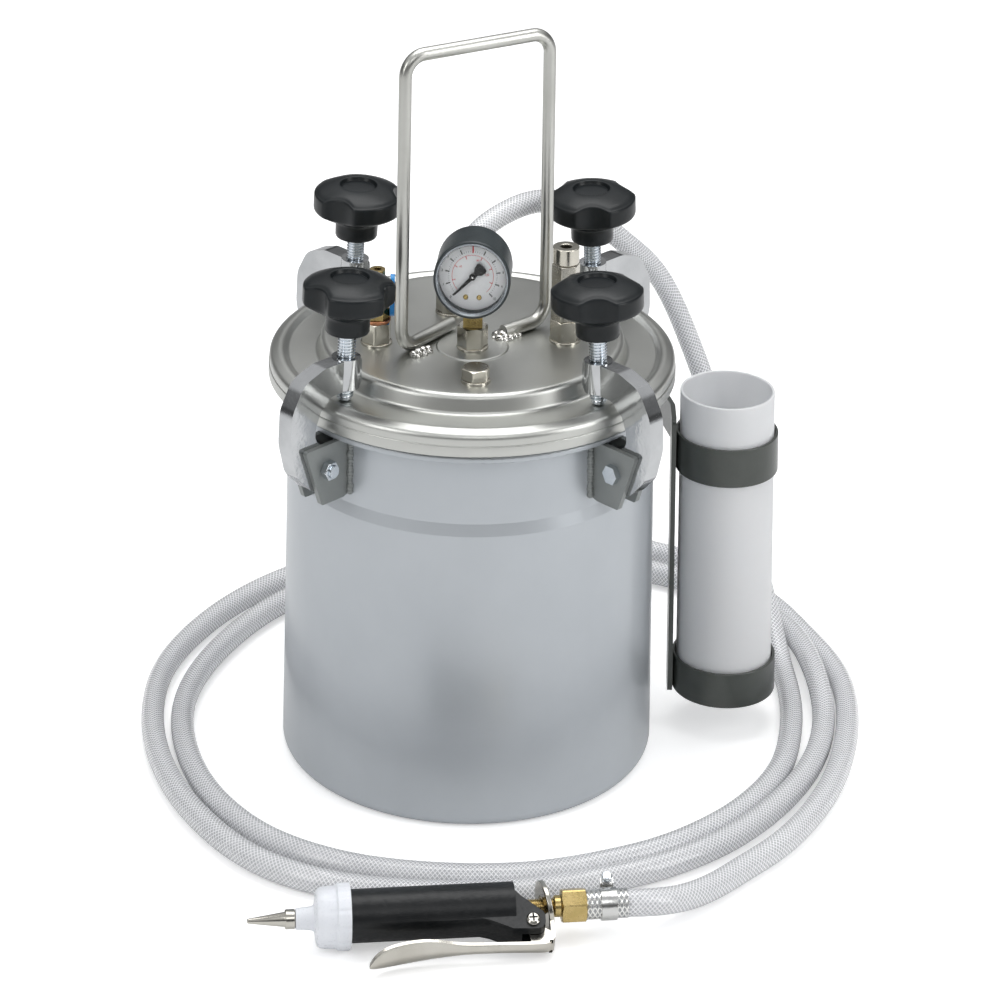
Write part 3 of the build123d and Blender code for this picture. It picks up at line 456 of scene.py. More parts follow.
def hexagon(af, z0, z1, chamfer_top=True, chamfer_bottom=False, bore=0.0, bore_depth=None, seg=72, turn=0.0, collar=None):
    """Hexagon bar with turned chamfers; local z up."""
    rc = af / 2 / math.cos(math.pi / 6)
    ri = af / 2 * 0.97
    rr = []
    for k in range(seg):
        a = 2 * math.pi * k / seg
        t = (a % (math.pi / 3)) - math.pi / 6
        rr.append(min(af / 2 / math.cos(t), rc - 0.12))
    tan = math.tan(30 * D2R)
    rows = []

    def ring(rad, z):
        rows.append([(rad[k] * math.cos(2 * math.pi * k / seg + turn), rad[k] * math.sin(2 * math.pi * k / seg + turn), z[k]) for k in range(seg)])

    if chamfer_bottom:
        ring([ri] * seg, [z0] * seg)
        ring(rr, [z0 + max(0, (r - ri)) * tan for r in rr])
    else:
        ring([r - 0.15 for r in rr], [z0] * seg)
        ring(rr, [z0 + 0.2] * seg)
    if chamfer_top:
        ring(rr, [z1 - max(0, (r - ri)) * tan for r in rr])
        ring([ri] * seg, [z1] * seg)
    else:
        ring(rr, [z1] * seg)
    if bore > 0:
        ring([bore + 0.5] * seg, [z1] * seg)
        ring([bore] * seg, [z1 - 0.5] * seg)
        ring([bore] * seg, [z1 - (bore_depth or (z1 - z0))] * seg)
    V = [p for r in rows for p in r]
    F = []
    for j in range(len(rows) - 1):
        for k in range(seg):
            k2 = (k + 1) % seg
            F.append((j * seg + k, j * seg + k2, (j + 1) * seg + k2, (j + 1) * seg + k))
    F.append(tuple(range(seg))[::-1])
    F.append(tuple(len(V) - seg + k for k in range(seg)))
    return V, F


def thread(radius, pitch, z0, z1, depth=None, seg=28):
    """Helical thread surface with a core and end caps, local z up."""
    depth = depth or pitch * 0.6
    n = int((z1 - z0) / pitch * seg)
    prof = [(0.0, 1.0), (0.12, 1.0), (0.42, 0.0), (0.58, 0.0), (0.88, 1.0), (1.0, 1.0)]
    V, F = [], []
    for i in range(n + 1):
        a = 2 * math.pi * i / seg
        zb = z0 - pitch + (z1 - z0 + pitch) * i / n
        for t, d in prof:
            z = min(max(zb + t * pitch, z0), z1)
            r = radius - depth * d
            # run-out at both ends
            e = min(1.0, (z - z0) / (pitch * 0.7)) if z < z0 + pitch * 0.7 else min(1.0, max(0.0, (z1 - z) / (pitch * 0.7)))
            r = radius - depth + (r - (radius - depth)) * e
            V.append((r * math.cos(a), r * math.sin(a), z))
    c = len(prof)
    for i in range(n):
        for j in range(c - 1):
            F.append((i * c + j, (i + 1) * c + j, (i + 1) * c + j + 1, i * c + j + 1))
    rc = radius - depth
    cv, cf = lathe([(0, z0 - 0.01), (rc, z0 - 0.01), (rc, z1 + 0.01), (0, z1 + 0.01)], 36)
    return join_parts([(V, F), (cv, cf)])


def tube(points, radius, seg=24, start_cap=True, end_cap=True, v_turns=1.0, twist_free=True):
    """Tube along points with parallel-transported rings. Returns verts, faces, uvs (mm along, turn)."""
    P = np.asarray(points, float)
    T = np.gradient(P, axis=0)
    T /= np.linalg.norm(T, axis=1)[:, None]
    x = np.array([0, 0, 1.0])
    if abs(T[0] @ x) > 0.9:
        x = np.array([0, 1.0, 0])
    x = x - T[0] * (x @ T[0])
    x /= np.linalg.norm(x)
    V, UV = [], []
    rad = radius if hasattr(radius, "__len__") else [radius] * len(P)
    s = 0.0
    for i in range(len(P)):
        if i:
            s += float(np.linalg.norm(P[i] - P[i - 1]))
            x = x - T[i] * (x @ T[i])
            x /= np.linalg.norm(x)
        y = np.cross(T[i], x)
        for k in range(seg + 1):
            a = 2 * math.pi * k / seg
            V.append(P[i] + (x * math.cos(a) + y * math.sin(a)) * rad[i])
            UV.append((s, k / seg * v_turns))
    F = []
    w = seg + 1
    for i in range(len(P) - 1):
        for k in range(seg):
            F.append((i * w + k, i * w + k + 1, (i + 1) * w + k + 1, (i + 1) * w + k))
    if start_cap:
        V.append(P[0]); UV.append((0, 0))
        c = len(V) - 1
        F += [(c, k + 1, k) for k in range(seg)]
    if end_cap:
        V.append(P[-1]); UV.append((s, 0))
        c = len(V) - 1
        o = (len(P) - 1) * w
        F += [(c, o + k, o + k + 1) for k in range(seg)]
    return V, F, UV


def spline(points, step):
    """Catmull-Rom through points, resampled every step mm."""
    P = np.asarray(points, float)
    P = np.vstack([2 * P[0] - P[1], P, 2 * P[-1] - P[-2]])
    out = []
    for i in range(1, len(P) - 2):
        p0, p1, p2, p3 = P[i - 1:i + 3]
        t0 = 0.0
        t1 = t0 + np.linalg.norm(p1 - p0) ** 0.5
        t2 = t1 + np.linalg.norm(p2 - p1) ** 0.5
        t3 = t2 + np.linalg.norm(p3 - p2) ** 0.5
        n = max(2, int(np.linalg.norm(p2 - p1) / 1.0))
        for k in range(n):
            t = t1 + (t2 - t1) * k / n
            a1 = (t1 - t) / (t1 - t0) * p0 + (t - t0) / (t1 - t0) * p1
            a2 = (t2 - t) / (t2 - t1) * p1 + (t - t1) / (t2 - t1) * p2
            a3 = (t3 - t) / (t3 - t2) * p2 + (t - t2) / (t3 - t2) * p3
            b1 = (t2 - t) / (t2 - t0) * a1 + (t - t0) / (t2 - t0) * a2
            b2 = (t3 - t) / (t3 - t1) * a2 + (t - t1) / (t3 - t1) * a3
            out.append((t2 - t) / (t2 - t1) * b1 + (t - t1) / (t2 - t1) * b2)
    out.append(P[-2])
    Q = np.array(out)
    # light smoothing keeps the curvature even
    for _ in range(60):
        Q[1:-1] = 0.25 * Q[:-2] + 0.5 * Q[1:-1] + 0.25 * Q[2:]
    d = np.concatenate([[0], np.cumsum(np.linalg.norm(np.diff(Q, axis=0), axis=1))])
    s = np.linspace(0, d[-1], int(d[-1] / step) + 1)
    return np.stack([np.interp(s, d, Q[:, k]) for k in range(3)], 1)


# ------------------------------------------------------------------ pot and lid
for node in ("tank_body", "tank_rim_flange", "lid_gasket", "lid_rim_ring"):
    refine(node, bevel=0.4 if node != "tank_body" else 0.3, smooth=28)
# lid shell, turned finely
turned("lid_pressing", [
    (0, 216.0), (75.0, 216.0, 0), (81.6, 216.0, 3.4), (83.6, 206.4, 2.4), (99.2, 206.4, 2.2), (103.4, 209.3, 4.2), (109.7, 206.3, 3.4), (109.6, 201.5, 0),
    (107.6, 201.5, 0), (107.6, 204.6, 2.0), (103.4, 206.4, 1.8), (100.2, 204.4, 2.0), (81.0, 204.4, 3.0), (78.6, 214.0, 3.4), (0, 214.0)],
    np.eye(4), "lid_steel", "pot", 192, 40, replaces=("lid_shell",))
turned("lid_centre_pad_fine", [(0, 216.8), (17.6, 216.8, 0), (18.9, 216.8, 0.8), (19.6, 215.9, 0)], basis((0, -20, 0), (0, 0, 1)), "lid_steel", "pot", 96, 30, replaces=("lid_centre_pad",))
refine("lid_handle", "handle_steel", bevel=0.5, smooth=40)
refine("clamp_brackets", "bracket_paint", bevel=0.35)
refine("clamp_hinge_bolts", "zinc", bevel=0.35)
refine("clamp_hinge_nuts", "zinc", bevel=0.35)
refine("dip_tube", "steel", bevel=0.2)
for n in ("front_left", "front_right", "back_left", "back_right"):
    refine("clamp_" + n, "clamp_chrome", bevel=0.9, segs=3, smooth=40, angle=30)
refine("holder_strap", bevel=0.4)
refine("holder_bands", bevel=0.4)
refine("bottle", bevel=0.2)


# weld runs: little overlapping beads along a line
def weld_run(name, pts, r, body="pot", mat="lid_steel", flatten=0.6, seed=1):
    g = random.Random(seed)
    parts = []
    P = spline(pts, r * 0.75)
    for p in P:
        rr = r * g.uniform(0.85, 1.15)
        v, f = lathe([(0, -rr * flatten), (rr * 0.6, -rr * flatten * 0.8), (rr * 0.95, -rr * flatten * 0.3), (rr, 0.05 * rr), (rr * 0.86, rr * flatten * 0.5), (rr * 0.5, rr * flatten * 0.87), (0, rr * flatten)], 14)
        parts.append((np.array(v) + p + np.array([g.uniform(-0.2, 0.2), g.uniform(-0.2, 0.2), 0]), f))
    V, F = join_parts(parts)
    return mesh_obj(name, V, F, mat, body, 60)


def weld_lumps(name, lumps, seed):
    """A small irregular puddle of weld metal."""
    g = random.Random(seed)
    parts = []
    for x, y, z, rr in lumps:
        v, f = lathe([(0, -rr * 0.7), (rr * 0.62, -rr * 0.6), (rr * 0.97, -rr * 0.2), (rr, 0.08 * rr), (rr * 0.84, rr * 0.45), (rr * 0.5, rr * 0.66), (0, rr * 0.72)], 20)
        v = np.array(v)
        for i in range(len(v)):
            v[i] *= 1 + 0.10 * math.sin(v[i][0] * 2.1 + x) * math.cos(v[i][1] * 2.4 + y)
        parts.append((v + np.array([x, y, z]), f))
    V, F = join_parts(parts)
    return mesh_obj(name, V, F, "weld_metal", "pot", 70)


weld_lumps("weld_foot_left", [(-31.0, -33.2, 216.9, 2.6), (-28.6, -31.2, 217.3, 2.9), (-26.4, -28.2, 217.1, 2.7), (-25.6, -31.0, 216.4, 2.2), (-29.0, -34.0, 216.3, 2.0), (-23.6, -25.6, 216.9, 2.3), (-22.6, -28.2, 216.3, 1.9)], 3)
weld_lumps("weld_foot_right", [(16.4, -8.6, 217.9, 3.6), (14.6, -10.6, 216.9, 3.0), (18.4, -5.0, 217.3, 3.1), (20.0, -8.8, 216.7, 2.9), (17.4, -11.2, 216.4, 2.4), (22.6, -6.2, 216.6, 2.5), (13.2, -6.6, 217.1, 2.8), (14.4, -3.4, 216.6, 2.5), (24.8, -4.6, 216.4, 2.1), (11.8, -9.6, 216.3, 2.1)], 5)

# bracket welds up both sides of every plate
CLAMPS = {"front_left": 225.0, "front_right": 315.0, "back_left": 135.0, "back_right": 45.0}
k = 20
for n, ang in CLAMPS.items():
    a = ang * D2R
    er = np.array([math.cos(a), math.sin(a), 0])
    et = np.array([-math.sin(a), math.cos(a), 0])
    for side in (1, -1):
        t = side * 8.6
        r = math.sqrt(97.7 ** 2 - t * t)
        p0 = er * r + et * t + np.array([0, 0, 162.5])
        p1 = er * r + et * t + np.array([0, 0, 188.0])
        weld_run("weld_%s_%s" % (n, "a" if side > 0 else "b"), [p0, (p0 + p1) / 2, p1], 2.1, mat="bracket_paint", seed=k, flatten=0.8)
        k += 1

# ------------------------------------------------------------------ clamp screws and knobs
LEAN = 2.5 * D2R
KNOB_TURN = {"front_left": 240.0 - 17, "front_right": 270.0, "back_left": 243.0, "back_right": 270.0}


def stud_frame(ang, h):
    a = ang * D2R
    er = np.array([math.cos(a), math.sin(a), 0])
    z = er * -math.sin(LEAN) + np.array([0, 0, math.cos(LEAN)])
    return basis(er * 94.5 + np.array([0, 0, 206.7]) + z * h, z, (1, 0, 0))


def knob_mesh(notch_deg):
    """Three broad lobes under a domed top, scooped between by upright cylinders."""
    seg = 180
    V, F = [], []
    nd = notch_deg * D2R

    def dome(r):
        return 28.8 - 4.4 * (max(0.0, r - 10.9) / 13.7) ** 1.45

    def under(r):
        return 9.3 + 0.36 * max(0.0, r - 11.7)

    rows = 0
    cols = []
    for k in range(seg):
        a = 2 * math.pi * k / seg
        d = ((a - nd + math.pi / 3) % (2 * math.pi / 3)) - math.pi / 3
        lobe = 24.55
        q = 15.2 ** 2 - (35.0 * math.sin(d)) ** 2
        scoop = 35.0 * math.cos(d) - math.sqrt(q) if q > 0 else 31.5 * math.cos(d) + 40 * max(0, abs(math.sin(d)) - 15.2 / 35.0)
        h = max(2.6 - abs(lobe - scoop), 0.0) / 2.6
        R = min(lobe, scoop) - h * h * 2.6 / 4
        prof = [(0.0, 0.0), (4.9, 0.0), (10.6, 0.0), (11.35, 0.25), (11.7, 0.9), (11.75, 4.0), (11.8, 7.4), (12.1, 8.7), (12.7, 9.5)]
        # underside out to the wall
        for t in (0.25, 0.5, 0.75):
            r = 12.7 + (R - 2.2 - 12.7) * t
            prof.append((r, under(r) + 0.3))
        zu = under(R)
        zt = dome(R)
        for t in (0.0, 22.5, 45.0, 67.5, 90.0):
            c, si = math.cos(t * D2R), math.sin(t * D2R)
            prof.append((R - 2.0 * (1 - si), zu + 0.3 + 2.0 * (1 - c)))
        for t in (0.2, 0.5, 0.8):
            prof.append((R, zu + 2.3 + (zt - 1.6 - zu - 2.3) * t))
        for t in (0.0, 15.0, 30.0, 45.0, 60.0, 75.0):
            c, si = math.cos(t * D2R), math.sin(t * D2R)
            prof.append((R - 1.5 * (1 - c), zt - 1.35 + 1.35 * si))
        r1 = R - 1.5 - 0.1
        for t in (0.0, 0.2, 0.4, 0.6, 0.8, 1.0):
            r = r1 + (10.9 - r1) * t
            prof.append((r, dome(r) - (0.05 if t == 0 else 0)))
        prof += [(10.45, 28.72), (10.2, 28.4), (10.05, 27.0), (9.75, 26.7), (9.3, 26.95), (8.6, 27.15), (4.0, 27.35), (0.0, 27.4)]
        rows = len(prof)
        cols.append([(r * math.cos(a), r * math.sin(a), z) for r, z in prof])
    for j in range(rows):
        for k in range(seg):
            V.append(cols[k][j])
    for j in range(rows - 1):
        for k in range(seg):
            k2 = (k + 1) % seg
            F.append((j * seg + k, j * seg + k2, (j + 1) * seg + k2, (j + 1) * seg + k))
    return V, F


for n, ang in CLAMPS.items():
    fr = stud_frame(ang, 0)
    tv, tf = thread(4.85, 1.5, 1.6, 56.0, 0.85)
    ev, ef = lathe([(0, 0), (3.2, 0), (4.0, 0.9), (4.1, 1.8), (0, 1.8)], 36)
    V, F = join_parts([(tv, tf), (ev, ef)])
    mesh_obj("screw_" + n, xf(fr, V), F, "zinc", BODY["clamp_screw_" + n], 50, None, ("clamp_screw_" + n,))
    kf = stud_frame(ang, 35.2)
    V, F = knob_mesh(KNOB_TURN[n])
    mesh_obj("handknob_" + n, xf(kf, V), F, "knob_black", BODY["knob_" + n], 55, None, ("knob_" + n,))

# ------------------------------------------------------------------ lid fittings
parts = []
for (sx, sy, base, turn) in ((0, -22, 216.8, 8), (-51.6, -16, 216, 24), (49.7, -9, 216, 12), (-12, 27, 216, 0)):
    hv, hf = hexagon(14.6, base + 0.8, base + 12.0, True, False, 4.6, 3.0, 96, turn * D2R)
    cv, cf = lathe(smooth_profile([(0, base), (8.6, base, 0), (8.5, base + 1.1, 0.4), (7.0, base + 1.4, 0)]), 64)
    parts.append((np.array(hv) + np.array([sx, sy, 0]), hf))
    parts.append((np.array(cv) + np.array([sx, sy, 0]), cf))
V, F = join_parts(parts)
mesh_obj("lid_sockets_fine", V, F, "nickel", "pot", 25, None, ("lid_sockets",))
hv, hf = hexagon(13.6, 217.4, 223.4, True, False, 0.0, None, 96, 20 * D2R)
cv, cf = lathe(smooth_profile([(0, 216), (8.0, 216, 0), (7.8, 217.4, 0.5), (6.0, 217.8, 0)]), 64)
dv, df = lathe(smooth_profile([(5.9, 223.3, 0), (4.6, 223.42, 0), (4.3, 223.1, 0), (0, 223.05)]), 48)
V, F = join_parts([(hv, hf), (cv, cf), (dv, df)])
mesh_obj("blanking_plug_fine", np.array(V) + np.array([2.0, -63.5, 0]), F, "nickel", "pot", 25, None, ("lid_blanking_plug",))

# gauge: frame with local z out of the dial towards the viewer, x to the right, y up
GY = 4.0 * D2R
g_out = np.array([-math.sin(GY), -math.cos(GY), 0])
g_c = np.array([0.0, -22.0, 257.2]) + g_out * 12.5
gm = np.eye(4)
gm[:3, 0] = (math.cos(GY), -math.sin(GY), 0)
gm[:3, 1] = (0, 0, 1)
gm[:3, 2] = g_out
gm[:3, 3] = g_c
turned("gauge_case_fine", [
    (0, -25.0), (17.5, -25.0, 0), (20.3, -24.6, 2.6), (20.4, -4.0, 0.3), (20.7, -3.6, 0.3), (20.7, -0.6, 0.5), (20.3, 0.1, 0.3), (19.5, 0.1, 0.2), (19.4, -1.4, 0), (18.2, -1.5, 0), (18.2, -6.6, 0), (20.0, -6.8, 0), (20.0, -23.4, 0), (0, -23.4)],
    gm, "gauge_black", "pot", 128, 30, replaces=("gauge_case",))
turned("gauge_bezel_lip", [(19.5, 0.0), (19.3, 0.45, 0.2), (18.8, 0.5, 0.2), (18.1, -0.6, 0.2), (18.05, -1.5, 0), (19.5, -1.5)], gm, "bezel_grey", "pot", 128, 30)
turned("gauge_lens_fine", [(0, -1.0), (17.62, -1.0, 0), (17.62, -1.9, 0), (0, -1.9)], gm, "lens_clear", "pot", 96, 30, replaces=("gauge_lens",))
turned("gauge_dial_fine", [(0, -6.0), (18.1, -6.0, 0), (18.1, -6.6, 0), (0, -6.6)], gm, "dial_white", "pot", 96, 30, replaces=("gauge_dial",))


def flat_parts(polys, z):
    V, F = [], []
    for poly in polys:
        o = len(V)
        V += [(p[0], p[1], z) for p in poly]
        F.append(tuple(range(o, o + len(poly))))
    return V, F


def radial_tick(a, r0, r1, w):
    c, s = math.cos(a), math.sin(a)
    return [(r0 * c - w / 2 * -s, r0 * s - w / 2 * c), (r0 * c + w / 2 * -s, r0 * s + w / 2 * c), (r1 * c + w / 2 * -s, r1 * s + w / 2 * c), (r1 * c - w / 2 * -s, r1 * s - w / 2 * c)]


black, red, faint = [], [], []
for i in range(51):
    a = (225 - 270 * i / 50) * D2R
    if i % 5 == 0:
        black.append(radial_tick(a, 12.6, 15.0, 0.62)) if i != 25 else red.append(radial_tick(a, 12.2, 17.4, 0.8))
    else:
        faint.append(radial_tick(a, 12.6, 13.4, 0.16))
for i in range(0, 46):
    a = (222 - 264 * i / 45) * D2R
    a2 = (222 - 264 * (i + 1) / 45) * D2R
    red.append([(11.0 * math.cos(a), 11.0 * math.sin(a)), (11.22 * math.cos(a), 11.22 * math.sin(a)), (11.22 * math.cos(a2), 11.22 * math.sin(a2)), (11.0 * math.cos(a2), 11.0 * math.sin(a2))])
for i in (5, 12, 19, 27, 34, 41):
    a = (222 - 264 * i / 45) * D2R
    red.append(radial_tick(a, 9.4, 11.1, 0.4))
for nm, polys, mat in (("dial_marks_black", black, "ink_black"), ("dial_marks_red", red, "ink_red"), ("dial_marks_fine", faint, "ink_black")):
    V, F = flat_parts([p if ((p[1][0] - p[0][0]) * (p[2][1] - p[0][1]) - (p[1][1] - p[0][1]) * (p[2][0] - p[0][0])) > 0 else p[::-1] for p in polys], -5.97)
    mesh_obj(nm, xf(gm, V), F, mat, "pot", None)


def text_mesh(name, items, z, mat, size):
    V, F = [], []
    for txt, x, y, sz in items:
        cu = bpy.data.curves.new(name + "_c", "FONT")
        cu.body = txt
        cu.size = sz
        cu.align_x = "CENTER"
        cu.align_y = "CENTER"
        ob = bpy.data.objects.new(name + "_t", cu)
        bpy.context.scene.collection.objects.link(ob)
        bpy.context.view_layer.update()
        me = ob.evaluated_get(bpy.context.evaluated_depsgraph_get()).to_mesh()
        o = len(V)
        V += [(v.co.x + x, v.co.y + y, z) for v in me.vertices]
        F += [tuple(i + o for i in p.vertices) for p in me.polygons]
        bpy.data.objects.remove(ob)
        bpy.data.curves.remove(cu)
    return mesh_obj(name, xf(gm, V), F, mat, "pot", None)


items = []
for i, t in ((0, "0"), (1, "1"), (2, "2"), (3, "3"), (4, "4"), (6, "6"), (7, "7"), (8, "8"), (9, "9"), (10, "10")):
    a = (225 - 27 * i) * D2R
    items.append((t, 16.5 * math.cos(a), 16.5 * math.sin(a), 1.9))
text_mesh("dial_numbers_black", items, -5.96, "ink_black", 1.8)
text_mesh("dial_numbers_red", [("40", -6.6, 4.8, 1.6), ("80", 2.6, 8.4, 1.6), ("120", 7.6, 0.9, 1.6)], -5.96, "ink_red", 1.6)
sv = []
for x in (-3.6, 3.6):
    v, f = lathe(smooth_profile([(0, -5.1), (0.9, -5.15, 0.3), (1.35, -5.6, 0.2), (1.35, -6.2, 0)]), 32)
    sv.append((np.array(v) + np.array([x, -11.3, 0]), f))
V, F = join_parts(sv)
mesh_obj("dial_screws_fine", xf(gm, V), F, "brass", "pot", 40, None, ("gauge_dial_screws",))
# pointer
za = 225 * D2R
pp = [(14.2, 0.2), (13.0, 0.45), (0, 1.05), (-2.6, 1.35), (-4.0, 2.6), (-6.6, 3.3), (-7.9, 2.6), (-8.3, 0.0)]
poly = [(r * math.cos(za) - o * math.sin(za), r * math.sin(za) + o * math.cos(za)) for r, o in pp] + [(r * math.cos(za) + o * math.sin(za), r * math.sin(za) - o * math.cos(za)) for r, o in pp[::-1][1:]]
nP = len(poly)
V = [(x, y, -4.2) for x, y in poly] + [(x, y, -4.7) for x, y in poly]
F = [tuple(range(nP))[::-1], tuple(range(nP, 2 * nP))] + [(i, (i + 1) % nP, nP + (i + 1) % nP, nP + i) for i in range(nP)]
hv, hf = lathe(smooth_profile([(0, -3.5), (1.4, -3.5, 0.3), (1.8, -4.1, 0.2), (1.8, -4.75, 0), (0, -4.75)]), 40)
V, F = join_parts([(V, F), (hv, hf)])
mesh_obj("gauge_pointer_fine", xf(gm, V), F, "ink_black", "gauge_hand", 30, None, ("gauge_pointer",))
turned("gauge_hub_cap", [(0, -3.3), (0.55, -3.35, 0.1), (0.6, -3.6, 0)], gm, "steel", "gauge_hand", 24, 40)
for node in ("gauge_stem", "gauge_movement_plate", "gauge_pressure_tube", "gauge_sector", "gauge_pinion_arbor"):
    refine(node, bevel=0.25)
for node in ("vent_valve_body", "vent_valve_ball", "vent_valve_lever", "vent_copper_washer", "air_coupling_body", "air_coupling_sleeve", "outlet_elbow", "outlet_hose_clip"):
    refine(node, bevel=0.4)

# ------------------------------------------------------------------ hose
GT = np.array([-105.3, -216.2, 14.8])
yaw, roll = 6.8 * D2R, 22.0 * D2R
GX = np.array([math.cos(yaw), math.sin(yaw), 0])
GN = np.array([math.sin(roll) * math.sin(yaw), -math.sin(roll) * math.cos(yaw), math.cos(roll)])
GYv = np.cross(GN, GX)
HD = np.array([14.0, 20.0, 17.0]) / np.linalg.norm([14.0, 20.0, 17.0])
BS = np.array([-12.0, 27.0, 237.0])
HOSE = [
    (94.0, -190.3, 13.2), (109.0, -179.8, 9.8), (124.0, -165.0, 7.2),
    (138.0, -148.8, 6.4), (164.1, -118.6, 6.4), (188.1, -73.7, 6.4), (202.1, -26.2, 6.4), (207.7, 23.2, 6.4),
    (204.4, 59.8, 6.4), (190.2, 100.8, 6.4), (175.5, 133.6, 6.4), (148.0, 172.0, 6.4), (112.6, 197.1, 6.4),
    (60.0, 214.0, 6.4), (5.0, 212.0, 6.4), (-50.0, 196.0, 6.4), (-106.4, 158.0, 6.4), (-141.2, 115.5, 6.4),
    (-165.2, 59.9, 6.4), (-170.2, 12.0, 6.4), (-163.0, -42.0, 6.4), (-142.1, -96.0, 6.4), (-107.2, -143.0, 6.4),
    (-70.0, -165.0, 6.4), (-20.0, -173.5, 6.4),
    (28.2, -170.4, 6.4), (68.5, -158.6, 6.4), (100.0, -144.5, 6.4), (136.6, -116.5, 6.4), (168.8, -73.3, 6.4), (187.0, -31.0, 6.4),
    (194.0, 8.0, 7.2), (193.5, 32.0, 10.5), (190.5, 56.0, 12.6), (183.0, 88.0, 13.0), (170.0, 115.4, 10.6), (150.0, 146.0, 7.6),
    (111.6, 171.9, 6.4), (60.0, 188.0, 6.4), (5.0, 188.0, 6.4), (-50.0, 172.0, 6.4), (-105.0, 131.1, 6.4),
    (-137.4, 76.9, 6.4), (-152.6, 22.0, 6.4), (-150.6, -27.1, 6.4), (-131.5, -84.0, 6.4), (-99.0, -126.0, 6.4),
    (-57.4, -149.0, 6.4), (-10.0, -157.2, 6.4),
    (33.3, -154.9, 6.4), (70.0, -143.5, 6.4), (105.0, -125.6, 6.4), (141.1, -92.1, 6.4), (165.5, -50.0, 6.4), (175.6, -2.0, 6.4),
    (177.0, 35.0, 6.4), (174.5, 64.0, 8.0), (169.0, 92.0, 24.0), (159.0, 116.0, 56.0), (148.0, 140.0, 92.0),
    (133.5, 161.0, 128.0), (109.0, 156.0, 184.0), (84.5, 131.0, 216.5), (55.0, 105.5, 245.5), (31.0, 79.5, 256.5),
    (8.0, 55.3, 254.0),
]
pts = [GT + GX * d for d in (167.2, 172.5, 178.0, 184.0)] + [np.array(p) for p in HOSE] + [BS + HD * d for d in (22.0, 17.0, 13.0, 9.0)]
path = spline(pts, 3.0)
V, F, UV = tube(path, 6.15, 28)
UV = np.array(UV)
UV[:, 0] /= 2.3
UV[:, 1] *= 1.0
mesh_obj("hose_fine", V, F, "hose_clear", "pot", 60, UV, ("delivery_hose",))

# ------------------------------------------------------------------ gun
def gun_m(s, q=0.0, n=0.0):
    """Frame across the gun's axis: local z along the axis, x away from the lever, at s mm behind the tip."""
    m = np.eye(4)
    m[:3, 0], m[:3, 1], m[:3, 2] = GYv, np.cross(GX, GYv), GX
    m[:3, 3] = GT + GX * s + GYv * q + GN * n
    return m


def gp(s, q, n):
    return GT + GX * s + GYv * q + GN * n


turned("gun_nozzle_fine", [(0, 0.0), (0.75, 0.0, 0), (1.1, 0.5, 0.3), (3.3, 18.2, 0), (3.4, 18.4, 0), (4.0, 18.4, 0), (4.35, 18.9, 0.3), (4.35, 23.0, 0.3), (3.9, 23.5, 0), (0, 23.5)], gun_m(0), "nickel_bright", "pot", 64, 30, replaces=("gun_nozzle",))
# cap with faint grip flats
seg = 144
prof = [(0, 23.6, 0), (4.5, 23.6, 0), (4.7, 24.2, 0), (5.2, 31.0, 0), (5.8, 32.4, 0), (7.4, 32.9, 0), (10.6, 33.4, 0), (12.2, 34.0, 0), (13.0, 35.2, 0), (13.4, 37.5, 0.4), (13.7, 43.0, 0.4), (14.1, 43.5, 1), (14.6, 44.0, 1), (14.7, 49.6, 1), (14.3, 50.3, 0.6), (12.2, 50.4, 0), (12.1, 49.0, 0), (0, 49.0, 0)]
V, F = [], []
for r, z, w in prof:
    for k in range(seg):
        a = 2 * math.pi * k / seg
        g = 0.30 * w * (1 if (math.cos(12 * a) > 0.80) else 0)
        V.append(((r - g) * math.cos(a), (r - g) * math.sin(a), z))
for j in range(len(prof) - 1):
    for k in range(seg):
        k2 = (k + 1) % seg
        F.append((j * seg + k, j * seg + k2, (j + 1) * seg + k2, (j + 1) * seg + k))
mesh_obj("gun_cap_fine", xf(gun_m(0), V), F, "cap_white", "pot", 35, None, ("gun_cap",))
refine("gun_grip", bevel=0.6, segs=3, smooth=40)
refine("gun_valve_tube", bevel=0.2)
refine("gun_needle", bevel=0.1)
refine("gun_spring", bevel=0.0)
# threaded rod
tv, tf = thread(3.7, 1.0, 123.5, 151.0, 0.5)
mesh_obj("gun_rod_fine", xf(gun_m(0), tv), tf, "brass", "pot", 50, None, ("gun_threaded_rod",))
# union: collar, hexagon, gauze-wrapped tail
hv, hf = hexagon(14.0, 154.4, 166.8, True, True, 0.0, None, 96, 15 * D2R)
cv, cf = lathe(smooth_profile([(0, 150.6), (4.0, 150.6, 0), (4.8, 151.2, 0.4), (4.8, 154.0, 0.3), (5.4, 154.5, 0)]), 48)
V, F = join_parts([(hv, hf), (cv, cf)])
mesh_obj("gun_union_fine", xf(gun_m(0), V), F, "brass", "pot", 25, None, ("gun_hose_union",))
line = np.array([gp(s, 0, 0) for s in np.linspace(166.9, 187.5, 30)])
V, F, UV = tube(line, [6.55] * 30, 40, False, False)
UV = np.array(UV)
UV[:, 0] /= 2.2
mesh_obj("gun_gauze_sleeve", V, F, "wire_gauze", "pot", 60, UV)
# hose clip: band, housing and slotted screw
bandv, bandf = lathe(smooth_profile([(6.6, 174.0, 0), (7.35, 174.0, 0.2), (7.35, 182.0, 0.2), (6.6, 182.0, 0)]), 72)
hs = []
V, F = list(bandv), list(bandf)
mesh_obj("gun_clip_band", xf(gun_m(0), V), F, "steel", "pot", 30, None, ("gun_hose_clip",))


def box_part(cx, cy, cz, sx, sy, sz):
    v = [(cx + i * sx / 2, cy + j * sy / 2, cz + k * sz / 2) for i in (-1, 1) for j in (-1, 1) for k in (-1, 1)]
    f = [(0, 1, 3, 2), (4, 6, 7, 5), (0, 4, 5, 1), (2, 3, 7, 6), (0, 2, 6, 4), (1, 5, 7, 3)]
    return v, f


